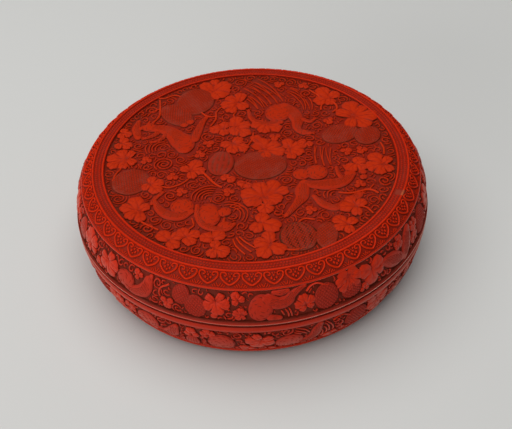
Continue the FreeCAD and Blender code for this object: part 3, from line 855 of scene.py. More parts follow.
def padPiece(name, pads, face, body, cut):
    mesh = bpy.data.meshes.new("pads")
    mesh.from_pydata([pad[:3] for pad in pads], [], [])
    mesh.attributes.new("turn", "FLOAT", "POINT").data.foreach_set("value", [pad[3] for pad in pads])
    mesh.attributes.new("size", "FLOAT", "POINT").data.foreach_set("value", [pad[4] for pad in pads])
    values = {"Sides": cut["sides"], "Top": cut["top"], "Height": cut["height"], "Stretch": cut["stretch"],
              "Tone": cut["tone"], "Finish": face["finish"]}
    return placeBaked(name, bakeTree(name, mesh, padTree, values), face, body)


def openSpots(discs, inside, edgeRoom, smallest, largest, most, seed):
    # finds the widest bare spots between the motifs, one after another
    draw = np.random.default_rng(seed)
    taken = np.array(discs, float)
    spots = []
    tries = inside(draw, 5000)
    room = edgeRoom(tries)
    for x, y, size in taken:
        room = np.minimum(room, np.hypot(tries[:, 0] - x, tries[:, 1] - y) - size)
    for _ in range(most):
        best = int(np.argmax(room))
        size = min(room[best], largest)
        if size < smallest:
            break
        x, y = tries[best]
        spots.append((x, y, size))
        room = np.minimum(room, np.hypot(tries[:, 0] - x, tries[:, 1] - y) - size)
    return spots


def gapTo(path, discs):
    # how far each point of a path lies from the nearest motif
    away = np.hypot(path[:, None, 0] - discs[None, :, 0], path[:, None, 1] - discs[None, :, 1])
    return (away - discs[None, :, 2]).min(1)


def swirlLines(spots, discs, inFace, look, seed, ring=None):
    # winds a line out from each bare spot until it meets a motif, the edge or the next spot's line
    draw = np.random.default_rng(seed)
    centres = np.array([spot[:2] for spot in spots])
    taken = np.array(discs, float)
    rivals = centres
    if ring:
        rivals = np.vstack([centres, centres - (ring, 0), centres + (ring, 0)])
    lines = []
    for index, (x, y) in enumerate(centres):
        turn, hand = draw.random() * 2 * math.pi, 1 if draw.random() < 0.5 else -1
        lift = 0.86 + 0.28 * draw.random()
        radius, angle, path = look["start"], 0.0, []
        while radius < look["reach"]:
            sway = radius + look["sway"] * math.sin(angle * 2.3 + turn * 3)
            path.append((x + math.cos(turn + hand * angle) * sway, y + math.sin(turn + hand * angle) * sway))
            step = look["step"] / max(radius, 0.8)
            angle += step
            radius += look["pitch"] * step / (2 * math.pi)
        path = np.array(path)
        near = taken[np.hypot(taken[:, 0] - x, taken[:, 1] - y) < look["reach"] + taken[:, 2]]
        free = inFace(path)
        if len(near):
            free &= gapTo(path, near) > look["room"]
        own = np.hypot(path[:, 0] - x, path[:, 1] - y)
        other = np.hypot(path[:, None, 0] - rivals[None, :, 0], path[:, None, 1] - rivals[None, :, 1])
        other[:, index] = 1e9
        free &= own < other.min(1) - look["seam"]
        openRuns(lines, path, free, lift)
    return lines


def openRuns(lines, path, free, lift):
    # keeps the parts of a path that lie free, thinner at their ends
    run = []
    for spot, isFree in zip(list(path) + [None], list(free) + [False]):
        if isFree:
            run.append(spot)
            continue
        if len(run) >= 3:
            last = len(run) - 1
            thick = [lift * (1.0 - 0.45 * abs(2 * step / last - 1) ** 4) for step in range(len(run))]
            lines.append([(spot[0], spot[1], 0.0, size) for spot, size in zip(run, thick)])
        run = []


def combLines(combs, discs, inFace, look):
    # the hair of a tail, as arcs round one middle that stop at the motifs
    taken = np.array(discs, float)
    lines = []
    for (x, y), first, last, inner, outer in combs:
        for radius in np.arange(inner, outer, look["pitch"]):
            count = max(4, int(math.radians(last - first) * radius / look["step"]))
            angles = np.radians(np.linspace(first, last, count))
            sway = radius * (1 + look["sway"] * np.sin(angles * 5 + radius))
            path = np.stack([x + np.cos(angles) * sway, y + np.sin(angles) * sway], 1)
            openRuns(lines, path, inFace(path) & (gapTo(path, taken) > look["room"]), look["lift"])
    return lines


# The field of the lid: leaves, melons, squirrels, vines and tendrils at their places, in mm from the middle.
fieldLeaves = [
    ((-13, 100), [(-8, 111, 7.5), (-18, 107, 6), (-22, 96, 6.5), (-19, 87, 5.5), (-5, 92, 6.5)]),
    ((-36, 125), [(-27, 134, 7), (-33, 117, 7.5), (-48, 136, 6.5), (-37, 143, 4.5)]),
    ((-12, 54), [(-13, 66, 6.5), (-4, 57, 5), (-5, 43, 6), (-14, 45, 6)]),
    ((-30, 52), [(-26, 60, 4.5), (-37, 51, 5), (-27, 45, 5)]),
    ((19, 54), [(8, 56, 5), (17, 48, 5.5), (30, 49, 6)]),
    ((92, 102), [(87, 114, 6.5), (100, 107, 6), (82, 95, 6), (93, 92, 5.5)]),
    ((119, 65), [(116, 82, 8.5), (105, 70, 8.5), (112, 51, 8), (127, 50, 7.5), (133, 64, 8), (126, 76, 6)]),
    ((-134, 8), [(-126, 16, 5), (-124, 2, 5), (-136, 18, 5), (-146, 9, 5), (-145, -2, 5), (-134, -4, 4.5)]),
    ((-137, 52), [(-137, 56, 4.5), (-139, 48, 4.5), (-133, 50, 4)]),
    ((-137, 34), [(-136, 39, 5), (-141, 30, 4.5), (-132, 30, 4.5)]),
    ((-102, -37), [(-102, -29, 5), (-108, -40, 5), (-98, -44, 5.5), (-95, -34, 4.5)]),
    ((-115, -74), [(-117, -62, 6.5), (-107, -70, 5.5), (-111, -86, 6), (-126, -70, 5), (-121, -82, 5)]),
    ((-61, -16), [(-57, -7, 5.5), (-53, -18, 5), (-61, -25, 5.5), (-69, -14, 5)]),
    ((-16, 23), [(-26, 24, 5.5), (-12, 31, 5.5), (-7, 17, 5), (-18, 15, 5.5)]),
    ((18, 13), [(7, 33, 5.5), (14, 25, 6), (17, 2, 5.5), (30, 8, 6), (26, 18, 5)]),
    ((46, 12), [(41, 23, 5.5), (52, 16, 5), (51, 6, 5.5), (44, -1, 5)]),
    ((-24, -33), [(-26, -31, 4.5), (-21, -34, 4.5)]),
    ((-7, -43), [(-11, -41, 3.5), (-3, -45, 3.5)]),
    ((60, 20), [(57, 23, 4), (64, 18, 4), (58, 16, 3)]),
    ((11, -60), [(-4, -58, 7), (-3, -70, 6.5), (10, -49, 6), (22, -46, 6), (32, -55, 5.5), (24, -67, 7)]),
    ((13, -78), [(13, -80, 7), (16, -74, 5)]),
    ((9, -101), [(9, -94, 6.5), (18, -106, 7), (3, -108, 6.5)]),
    ((13, -132), [(14, -120, 6.5), (6, -128, 5.5), (23, -138, 7.5), (9, -142, 6)]),
    ((-80, -118), [(-87, -113, 7), (-77, -126, 6), (-74, -114, 4.5)]),
    ((-64, -115), [(-68, -109, 5.5), (-61, -122, 5.5), (-57, -113, 4.5)]),
    ((-40, -118), [(-46, -118, 5.5), (-33, -116, 5.5)]),
    ((-36, -135), [(-37, -128, 5), (-39, -139, 6.5), (-31, -138, 6)]),
    ((90, -109), [(84, -103, 5.5), (96, -105, 5.5), (92, -116, 5.5), (83, -112, 4.5)]),
    ((101, -83), [(108, -79, 5.5), (92, -84, 5.5), (102, -92, 5.5), (98, -74, 4.5)]),
    ((110, -20), [(113, -15, 6.5), (105, -24, 6.5), (115, -24, 4.5)]),
    ((136, -20), [(131, -10, 6.5), (127, -24, 6.5), (143, -15, 6), (133, -31, 6), (143, -29, 5.5)]),
]
fieldMelons = [  # place, half length, half width, turn, lengthwise ribs, net
    ((-59, 106), 25, 21, 74, 0, True), ((-80, 82), 23, 15, 128, 0, True),
    ((-124, -30), 20, 19, 60, 0, True), ((10.5, -13), 27.5, 22.5, 5, 0, True),
    ((99, 34), 21, 15, 25, 0, True), ((128, 29), 16, 13.5, 60, 0, True),
    ((43, -122), 19.5, 18.5, 100, 5, True), ((70, -122), 18, 10.5, 80, 0, True),
    ((-31, -7), 19.5, 14, 80, 5, False),
]
fieldBodies = [  # strokes of the squirrels as (x, y, width), with their height as a share
    (0.96, [(-108, 58, 9), (-98, 58, 13), (-88, 53, 16), (-80, 44, 20), (-74, 32, 22), (-70, 21, 17)]),
    (0.90, [(-116, 61, 7), (-121, 59, 4)]), (0.95, [(-107, 66, 4.5), (-105, 71, 3)]),
    (0.95, [(-111, 67, 4), (-110, 72, 2.6)]),
    (0.85, [(-99, 54, 7), (-102, 48, 6), (-108, 44, 4.5), (-113, 42, 3.5)]),
    (0.85, [(-90, 49, 7), (-93, 42, 5.5), (-99, 36, 4), (-104, 35, 3)]),
    (0.92, [(-59, 36, 10), (-56, 48, 9.5), (-53, 59, 8), (-50, 68, 6.5), (-46, 75, 5)]),
    (0.80, [(-122, 73, 5), (-124, 59, 10), (-121, 44, 8)]),
    (0.90, [(1, 82, 4), (3, 70, 6), (10, 61, 7.5), (22, 57, 8), (36, 59, 6)]),
    (0.94, [(42, 88, 13), (50, 76, 17), (54, 62, 14), (53, 48, 9.5), (57, 40, 7), (66, 37, 6)]),
    (0.85, [(61, 62, 6), (68, 58, 5), (73, 62, 3.5)]),
    (0.94, [(53, -44, 7), (63, -48, 12), (78, -49, 16), (92, -46, 14), (101, -38, 10), (104, -30, 6)]),
    (0.88, [(89, -23, 4), (90, -33, 5), (94, -42, 6)]), (0.88, [(97, -21, 3.5), (101, -28, 6)]),
    (0.90, [(54, -45, 10), (51, -56, 15), (50, -66, 13), (44, -76, 8.5), (38, -85, 6.5), (33, -92, 5)]),
    (0.82, [(62, -66, 5), (70, -78, 9), (82, -84, 9), (94, -76, 8), (107, -67, 9)]),
    (0.92, [(-98, -62, 5), (-93, -74, 9), (-84, -83, 12), (-72, -86, 12), (-61, -80, 7)]),
    (0.84, [(-101, -66, 4), (-97, -57, 5), (-91, -50, 4)]),
    (0.88, [(-55, -72, 5), (-54, -86, 7.5), (-49, -99, 8.5), (-39, -106, 8), (-26, -107, 7),
            (-19, -101, 5)]),
    (0.95, [(-29, -97, 4), (-28, -92, 2.6)]),
]
fieldMounds = [  # place, half length, half width, turn, height as a share
    ((-110, 61), 8, 6.5, 10, 1.06), ((-71, 31), 17, 12, 102, 1.06), ((34, 77), 17, 14.5, 70, 1.08),
    ((60, 39), 6, 4.6, 0, 0.98), ((68, -29), 11.5, 11.5, 0, 1.08), ((52, -31), 9, 8.5, 0, 0.94),
    ((102, -34), 7, 6, 80, 1.06), ((-70, -72), 12, 11.5, 0, 1.08), ((-43, -86), 17, 11, 97, 1.02),
    ((-27, -103), 8, 6.2, -8, 1.06), ((-28, -83), 7.5, 6.5, 20, 0.95), ((115, -40), 4.2, 3.8, 60, 0.9),
    ((115, -32), 4.4, 3.8, 0, 0.9), ((-65, 67), 5.5, 4.4, 40, 1.0), ((-71, 62), 4.5, 3.6, 10, 0.95),
]
fieldEyes = [(-112, 62.5), (103, -32), (-26, -102)]
fieldToes = [  # where a paw ends, and the way that it points
    (-113, 42, 185), (-104, 35, 190), (-46, 75, 60), (1, 82, 95), (73, 62, 50), (68, 37, 0), (33, -92, 200),
    (110, -65, 25), (-91, -50, 60),
]
fieldTails = [  # middle of the combed arcs, first and last angle, inner and outer reach
    ((-93, 22), 10, 205, 8, 21), ((-62, 62), 18, 48, 72, 112), ((22, 84), -5, 55, 40, 54),
    ((150, -4), 167, 192, 66, 86), ((-42, -62), 70, 190, 5, 20), ((-24, -88), -35, 105, 12, 22),
    ((84, -66), 60, 200, 5, 13), ((-14, -84), 10, 170, 5, 13), ((94, -32), 60, 210, 4, 10),
    ((88, 82), -40, 220, 5, 6),
]
fieldVines = [  # lines of (x, y, thickness)
    [(-100, 112, 1), (-99, 98, 1.2), (-99, 82, 1.2), (-104, 72, 1), (-110, 66, 0.8)],
    [(-104, 117, 0.9), (-95, 115, 1), (-84, 120, 1), (-76, 117, 0.8)],
    [(-99, 95, 0.9), (-108, 90, 0.8), (-113, 82, 0.6)],
    [(87, -62, 1), (100, -64, 1.2), (118, -60, 1.2), (127, -66, 1)], [(118, -60, 0.8), (124, -52, 0.7)],
    [(-17, -120, 0.8), (-12, -130, 0.9), (-3, -140, 0.7)],
    [(-14, -119, 0.8), (-8, -127, 0.9), (1, -135, 0.7)],
    [(-20, -122, 0.8), (-17, -132, 0.9), (-9, -143, 0.7)], [(140, 15, 0.9), (142, 5, 1), (141, -5, 0.8)],
    [(-13, 83, 0.8), (-16, 76, 0.9), (-13, 70, 0.8)],
    [(-28, 95, 0.8), (-35, 84, 1), (-36, 70, 1), (-42, 58, 0.8)],
    [(5, 42, 1), (3, 30, 1.1), (-3, 18, 1), (-6, 8, 0.9)], [(72, 118, 0.9), (80, 108, 1), (84, 100, 0.8)],
    [(117, 50, 1), (108, 40, 1), (96, 48, 0.9)], [(-133, -4, 0.9), (-140, -16, 1), (-143, -28, 0.9)],
    [(-60, -24, 0.9), (-70, -36, 1), (-84, -42, 1), (-96, -38, 0.8)],
    [(14, -76, 0.9), (10, -86, 1), (8, -96, 0.8)], [(24, -137, 0.8), (36, -140, 1), (48, -138, 0.8)],
    [(-52, 84, 0.9), (-45, 76, 1), (-36, 76, 0.8)], [(-115, -86, 0.9), (-104, -96, 1), (-92, -104, 0.9)],
    [(44, -103, 0.9), (50, -98, 1), (60, -100, 0.9)], [(118, -95, 0.8), (112, -86, 0.9), (104, -84, 0.8)],
    [(-60, -90, 0.8), (-58, -100, 0.9), (-64, -106, 0.8)],
    [(82, 78, 1), (84, 88, 1.1), (92, 93, 1.2), (99, 88, 1.3), (100, 79, 1.2), (94, 73, 1)],
    [(-51, -19, 1.2), (-45, -28, 1.3), (-37, -40, 1.1), (-30, -46, 0.9)],
]


def fieldInside(draw, count):
    radius = carvedFaces["field"]["edge"] * np.sqrt(draw.random(count))
    turn = draw.random(count) * 2 * math.pi
    return np.stack([radius * np.cos(turn), radius * np.sin(turn)], 1)


def fieldEdge(spots):
    return carvedFaces["field"]["edge"] - np.hypot(spots[:, 0], spots[:, 1])


fieldScrolls = [  # the main swirls: place, turn of the first half round, count of half rounds
    ((-107.7, 92.3), 20, 3), ((-90.8, -4.6), 60, 5), ((-103.1, -101.6), 0, 3), ((53.9, -13.9), 110, 2),
    ((135.4, -47.7), 150, 3), ((24.6, -87.7), 40, 2), ((67.7, 110.8), 90, 3),
]
scrollCut = {"start": 1.5, "pitch": 3.6, "width": 1.25}


def scroll(place, turn, halfRounds):
    # half rounds whose middles lie in turn on either side of the place
    line, spin = [], math.radians(turn)
    for n in range(halfRounds):
        radius = scrollCut["start"] + (n + 0.5) * scrollCut["pitch"] / 2
        shift = scrollCut["pitch"] / 4 * (1 if n % 2 else -1)
        for angle in np.radians(np.arange(0, 180, 12) + 180 * n):
            x, y = shift + math.cos(angle) * radius, math.sin(angle) * radius
            line.append((place[0] + x * math.cos(spin) - y * math.sin(spin),
                         place[1] + x * math.sin(spin) + y * math.cos(spin), 0.0, scrollCut["width"]))
    return line


swirlCut = {"start": 1.2, "step": 1.1, "pitch": 3.2, "reach": 24.0, "room": 1.3, "seam": 0.2, "width": 1.75,
            "height": 1.45, "sway": 0.35, "line": 1.1, "sides": 6, "tone": 0.76}
combCut = {"pitch": 3.5, "step": 1.3, "room": 1.0, "sway": 0.02, "lift": 1.0, "width": 2.0, "height": 1.75,
           "line": 1.3, "sides": 6, "tone": 0.82}
vineCut = {"width": 2.4, "height": 1.8, "line": 1.0, "sides": 8, "tone": 0.95}
netCut = {"sides": 4, "top": 0.66, "height": 0.50, "stretch": 1.25, "tone": 0.66}
roomCut = {"vine": 1.2, "hair": 1.1, "scroll": 1.1}  # how far a line keeps the swirls away from its middle
fieldCut = {
    "seed": 5, "rim": 0.3, "leafTone": 0.95, "netTone": 0.28, "ribTone": 0.50, "eye": (1.5, 1.3, 1.12),
    "leafSpots": (6.0, 7.0, 14), "swirlSpots": (1.9, 9.0, 240),  # smallest and largest reach, and the most
    "small": {"height": 2.1, "spokes": 60, "turns": (0, 100, 220), "away": 0.45, "lobe": 0.42},
}


def carveField():
    face = carvedFaces["field"]
    leaves, melons, bodies, pads = newCarving(), newCarving(), newCarving(), []
    for centre, lobes in fieldLeaves:
        leaf(leaves, centre, lobes, tone=fieldCut["leafTone"])
    for centre, halfLong, halfWide, turn, ribs, netted in fieldMelons:
        tone = fieldCut["netTone" if netted else "ribTone"]
        melon(melons, pads, centre, halfLong, halfWide, turn, ribs=ribs, netted=netted, tone=tone)
    fur = []
    for share, points in fieldBodies:
        stroke(bodies, points, strokeCut["height"] * share)
        furAlong(fur, points, strokeCut["height"] * share)
    for centre, halfLong, halfWide, turn, share in fieldMounds:
        mound(bodies, centre, halfLong, halfWide, turn, strokeCut["height"] * share)
        furRound(fur, centre, halfLong, halfWide, turn, strokeCut["height"] * share)
    eyeLong, eyeWide, share = fieldCut["eye"]
    for x, y in fieldEyes:
        mound(bodies, (x, y), eyeLong, eyeWide, 0, strokeCut["height"] * share)
    for x, y, way in fieldToes:
        addToes(bodies, x, y, way)
    discs = leaves["discs"] + melons["discs"] + bodies["discs"]

    def onField(path):
        return np.hypot(path[:, 0], path[:, 1]) < face["edge"] - fieldCut["rim"]

    vines = [[(x, y, 0.0, thick) for x, y, thick in line] for line in fieldVines]
    scrolls = [scroll(*row) for row in fieldScrolls]
    discs += [(x, y, roomCut["scroll"]) for line in scrolls for x, y, z, thick in line]
    for line in fieldVines:
        discs += [(x, y, roomCut["vine"]) for x, y, width in smoothPath(line, 2.0)]
    hairs = combLines(fieldTails, discs, onField, combCut)
    discs += [(point[0], point[1], roomCut["hair"]) for hair in hairs for point in hair]
    draw = np.random.default_rng(fieldCut["seed"])
    small = fieldCut["small"]
    for x, y, size in openSpots(discs, fieldInside, fieldEdge, *fieldCut["leafSpots"], fieldCut["seed"]):
        start = draw.random() * 360
        lobes = []
        for step in small["turns"]:
            way = math.radians(start + step)
            lobes.append((x + math.cos(way) * size * small["away"], y + math.sin(way) * size * small["away"],
                          size * small["lobe"]))
        leaf(leaves, (x, y), lobes, small["height"], fieldCut["leafTone"], small["spokes"])
        discs += lobes
    spots = openSpots(discs, fieldInside, fieldEdge, *fieldCut["swirlSpots"], fieldCut["seed"] + 1)
    curls = scrolls + swirlLines(spots, discs, onField, swirlCut, fieldCut["seed"])
    carvedPiece("lid_field_leaves", leaves, face, "lid")
    carvedPiece("lid_field_melons", melons, face, "lid")
    carvedPiece("lid_field_squirrels", bodies, face, "lid")
    padPiece("lid_field_melon_net", pads, face, "lid", netCut)
    vinePiece("lid_field_vines", vines, face, "lid", vineCut)
    vinePiece("lid_field_swirls", curls, face, "lid", swirlCut)
    vinePiece("lid_field_tails", hairs, face, "lid", combCut)
    vinePiece("lid_field_fur", fur, face, "lid", furCut)
    print("field of the lid carved,", len(spots), "swirls in", len(curls), "lines")


carveField()


# The flat band between the ridges, and the hanging lappets of the shoulder.
bandCut = {"count": 330, "rows": (-1.75, 1.75), "size": 1.55, "fill": (333.9, 337.1), "sides": 4, "top": 0.5,
           "height": 0.55, "stretch": 1.25, "tone": 0.70}
lappetCut = {"count": 53, "start": 268.8, "width": 2.0, "height": 1.5, "line": 0.7, "sides": 8, "tone": 0.95}
lappetLines = [  # half of one lappet, mirrored, as (across, up, thickness); x runs along the ring
    [
        (0.0, 2.9, 1.0), (-3.5, 4.6, 1.0), (-7.4, 8.0, 1.0), (-9.0, 11.4, 1.0), (-8.2, 13.6, 0.95),
        (-5.6, 14.1, 0.9), (-3.5, 12.7, 0.85), (-4.1, 10.9, 0.8), (-5.7, 11.4, 0.75),
    ],
    [(-1.9, 7.6, 1.0), (-2.6, 8.6, 1.1), (-2.2, 9.5, 0.9)], [(-0.9, 12.4, 0.6), (-1.9, 13.6, 0.7)],
    [(-9.9, 1.0, 0.45), (-8.2, 4.4, 0.5)], [(-7.9, 0.8, 0.45), (-6.0, 3.4, 0.5)],
    [(-5.6, 0.8, 0.45), (-4.4, 2.6, 0.45)],
]
lappetStem = [(0.0, 5.9, 0.9), (0.0, 6.7, 1.2), (0.0, 7.6, 0.9)]
lappetBud = [(0.0, 9.9, 0.8), (0.0, 10.8, 1.1), (0.0, 11.7, 0.8)]


def carveShoulder():
    face = carvedFaces["band"]
    pitch = 360 / bandCut["count"]
    low, high = bandCut["fill"]
    studs = []
    for row, up in enumerate(bandCut["rows"]):
        for index in range(bandCut["count"]):
            turn = (index + row * 0.5) * pitch
            if not low < turn < high:
                studs.append((math.radians(turn) * face["girth"], up, 0.0, 0.0, bandCut["size"]))
    padPiece("lid_band_studs", studs, face, "lid", bandCut)
    face = carvedFaces["shoulder"]
    pitch = face["girth"] * 2 * math.pi / lappetCut["count"]
    lines = [[(x * hand, y, 0.0, thick) for x, y, thick in line] for line in lappetLines for hand in (1, -1)]
    lines += [[(x, y, 0.0, thick) for x, y, thick in line] for line in (lappetStem, lappetBud)]
    values = {"Width": lappetCut["width"], "Height": lappetCut["height"], "Step": lappetCut["line"],
              "Sides": lappetCut["sides"], "Finish": sideRed}
    motif = newObject("lappet", bakeTree("lappet", lineMesh(lines), vineTree, values))
    values = {"Count": lappetCut["count"], "Pitch": pitch, "Motif": motif, "Finish": sideRed}
    ring = bakeTree("lappets", bpy.data.meshes.new("lappets"), rowTree, values)
    start = math.radians(lappetCut["start"]) * face["girth"]
    for vertex in ring.vertices:
        vertex.co.x += start
    placeBaked("lid_shoulder_lappets", ring, face, "lid", lappetCut["tone"])
    bpy.data.objects.remove(motif)
    print("shoulder carved")


carveShoulder()


# The friezes round the walls. A place is its angle round the box and its height above the foot of the wall.
leafShapes = {
    "five": ((0, 0.02), [(0, 0.60, 0.43), (0.60, 0.18, 0.42), (-0.60, 0.18, 0.42), (0.40, -0.48, 0.38),
                         (-0.40, -0.48, 0.38)]),
    "fan": ((0, 0.35), [(-0.76, 0.2, 0.34), (-0.46, -0.28, 0.36), (0, -0.42, 0.34), (0.46, -0.28, 0.36),
                        (0.76, 0.2, 0.34)]),
    "trio": ((-0.05, 0.0), [(-0.60, 0.26, 0.46), (0.56, 0.32, 0.46), (0.62, -0.20, 0.32),
                            (-0.06, -0.46, 0.40)]),
    "three": ((0, 0), [(0, 0.56, 0.44), (0.52, -0.28, 0.42), (-0.52, -0.28, 0.42)]),
}
squirrelShape = {  # a crouching squirrel that looks to the right, in shares of its size
    "strokes": [  # x, y, width
        [(-0.20, 0.00, 0.40), (0.02, 0.05, 0.42), (0.22, 0.15, 0.36), (0.38, 0.24, 0.26)],
        [(0.26, 0.06, 0.13), (0.38, -0.10, 0.10), (0.52, -0.14, 0.07), (0.60, -0.08, 0.05)],
        [(-0.20, -0.20, 0.16), (-0.02, -0.34, 0.13), (0.16, -0.40, 0.09), (0.28, -0.40, 0.05)],
        [(0.44, 0.40, 0.07), (0.39, 0.49, 0.05)],
    ],
    "mounds": [((-0.28, -0.02), 0.30, 0.28, 60), ((0.50, 0.30), 0.17, 0.13, 20)],
    "tail": [((-0.62, 0.10), 20, 200, 0.16, 0.46)],
    "paws": [(0.60, -0.08, 30), (0.28, -0.40, 0)],
    "eye": (0.54, 0.33),
}
vineShape = [(-1, 0), (-0.5, 0.30), (0.1, 0.28), (0.6, -0.1), (1, -0.35)]
friezeCut = {
    "height": 2.6, "margin": 0.3, "rim": (0.2, 0.4), "leafTone": 1.0, "leafSpokes": 84,
    "melonDrop": 0.2, "melon": (0.86, 0, 0.34), "gourd": (0.62, 5, 0.66),  # width as a share, ribs, tone
    "stroke": 0.92, "eye": (1.4, 1.3, 1.04), "mass": (0.94, 0.70), "limb": (0.86, 0.72), "ball": 0.9,
    "leafSpots": (6.4, 7.2, 16), "swirlSpots": (1.5, 8.0, 320),
    "small": {"height": 0.92, "tone": 0.95, "spokes": 60},
}
wallSwirls = {**swirlCut, "height": 1.8, "tone": 0.74}
wallTails = {**combCut, "tone": 0.92}
wallVines = {**vineCut, "width": 2.2, "height": 2.1}
wallNet = {**netCut, "top": 0.62, "height": 0.46, "tone": 0.60}


def spun(x, y, spin):
    return x * math.cos(spin) - y * math.sin(spin), x * math.sin(spin) + y * math.cos(spin)


def stepInside(low, high, height):
    # how far a motif moves up or down so that it stays on the wall
    over, under = high - (height - friezeCut["margin"]), friezeCut["margin"] - low
    if over <= 0 and under <= 0:
        return 0.0
    if over + under > 0:
        return (under - over) / 2
    return -over if over > 0 else under


def carveFrieze(label, face, body, items, seed):
    height, girth = wallHeight(face), face["girth"]
    leaves, melons, bodies = newCarving(), newCarving(), newCarving()
    pads, tails, fur, vines = [], [], [], []
    relief = friezeCut["height"]
    for kind, angle, up, size, turn in items:
        along = math.radians(angle) * girth
        spin = math.radians(turn) if kind != "comb" else 0.0

        def moved(x, y, hand=1):
            x, y = spun(x * hand, y, spin)
            return along + x * size, up + y * size

        if kind in leafShapes:
            middle, lobes = leafShapes[kind]
            fullest = leafCut["full"] * (1 + leafCut["uneven"]) * size
            low = min(moved(x, y)[1] - share * fullest for x, y, share in lobes)
            high = max(moved(x, y)[1] + share * fullest for x, y, share in lobes)
            up += stepInside(low, high, height)
            placed = [(*moved(x, y), share * size) for x, y, share in lobes]
            leaf(leaves, moved(*middle), placed, relief, friezeCut["leafTone"], friezeCut["leafSpokes"])
        elif kind in ("melon", "gourd"):
            share, ribs, tone = friezeCut[kind]
            up += stepInside(up - size, up + size, height)
            melon(melons, pads, (along, up), size, size * share, turn, relief - friezeCut["melonDrop"], ribs,
                  kind == "melon", tone)
        elif kind in ("squirrel", "turned"):
            hand = 1 if kind == "squirrel" else -1
            for points in squirrelShape["strokes"]:
                points = [(*moved(x, y, hand), width * size) for x, y, width in points]
                stroke(bodies, points, relief * friezeCut["stroke"])
                furAlong(fur, points, relief * friezeCut["stroke"])
            for (x, y), halfLong, halfWide, lean in squirrelShape["mounds"]:
                form = (moved(x, y, hand), halfLong * size, halfWide * size, turn + hand * lean, relief)
                mound(bodies, *form)
                furRound(fur, *form)
            eyeLong, eyeWide, share = friezeCut["eye"]
            mound(bodies, moved(*squirrelShape["eye"], hand), eyeLong, eyeWide, 0, relief * share)
            for x, y, way in squirrelShape["paws"]:
                addToes(bodies, *moved(x, y, hand), turn + (way if hand == 1 else 180 - way))
            for (x, y), first, last, inner, outer in squirrelShape["tail"]:
                first, last = (first, last) if hand == 1 else (180 - last, 180 - first)
                tails.append((moved(x, y, hand), first + turn, last + turn, inner * size, outer * size))
        elif kind == "mass":
            share, tone = friezeCut["mass"]
            mound(bodies, (along, up), *size, turn, relief * share, tone)
            furRound(fur, (along, up), *size, turn, relief * share)
        elif kind == "limb":
            share, tone = friezeCut["limb"]
            points = [(along + x, up + y, width) for x, y, width in size]
            stroke(bodies, points, relief * share, tone)
            furAlong(fur, points, relief * share)
        elif kind == "comb":
            tails.append(((along, up), *turn, *size))
        elif kind == "ball":
            share = friezeCut["ball"]
            mound(bodies, (along, up), size, size * share, turn, relief * share)
        elif kind == "vine":
            vines.append([(*moved(x, y), 0.0, 1.0) for x, y in vineShape])
    discs = leaves["discs"] + melons["discs"] + bodies["discs"]
    for line in vines:
        discs += [(x, y, roomCut["vine"]) for x, y, z, thick in line]
    ring = 2 * math.pi * girth
    discs += [(x - ring, y, size) for x, y, size in discs] + [(x + ring, y, size) for x, y, size in discs]
    draw = np.random.default_rng(seed)

    def onWall(path):
        return (path[:, 1] > friezeCut["rim"][0]) & (path[:, 1] < height - friezeCut["rim"][1])

    hairs = combLines(tails, discs, onWall, combCut)
    discs += [(point[0] + shift, point[1], roomCut["hair"])
              for hair in hairs for point in hair for shift in (-ring, 0, ring)]

    def inside(source, count):
        return np.stack([source.random(count) * ring, 0.8 + source.random(count) * (height - 1.6)], 1)

    def edge(spots):
        return np.minimum(spots[:, 1], height - spots[:, 1]) + 0.2

    small = friezeCut["small"]
    for x, y, size in openSpots(discs, inside, edge, *friezeCut["leafSpots"], seed):
        middle, lobes = leafShapes["three" if draw.random() < 0.5 else "five"]
        spin = draw.random() * 2 * math.pi
        turned = []
        for across, above, share in lobes:
            across, above = spun(across, above, spin)
            turned.append((x + across * size, y + above * size, share * size))
        leaf(leaves, (x, y), turned, relief * small["height"], small["tone"], small["spokes"])
        discs += turned
    spots = openSpots(discs, inside, edge, *friezeCut["swirlSpots"], seed + 1)
    curls = swirlLines(spots, discs, onWall, swirlCut, seed, ring)
    for name, carving in (("leaves", leaves), ("melons", melons), ("squirrels", bodies)):
        carvedPiece(label + "_" + name, carving, face, body)
    padPiece(label + "_melon_net", pads, face, body, wallNet)
    vinePiece(label + "_vines", vines, face, body, wallVines)
    vinePiece(label + "_swirls", curls, face, body, wallSwirls)
    vinePiece(label + "_tails", hairs, face, body, wallTails)
    vinePiece(label + "_fur", fur, face, body, furCut)
    print(label, "carved,", len(spots), "swirls in", len(curls), "lines")


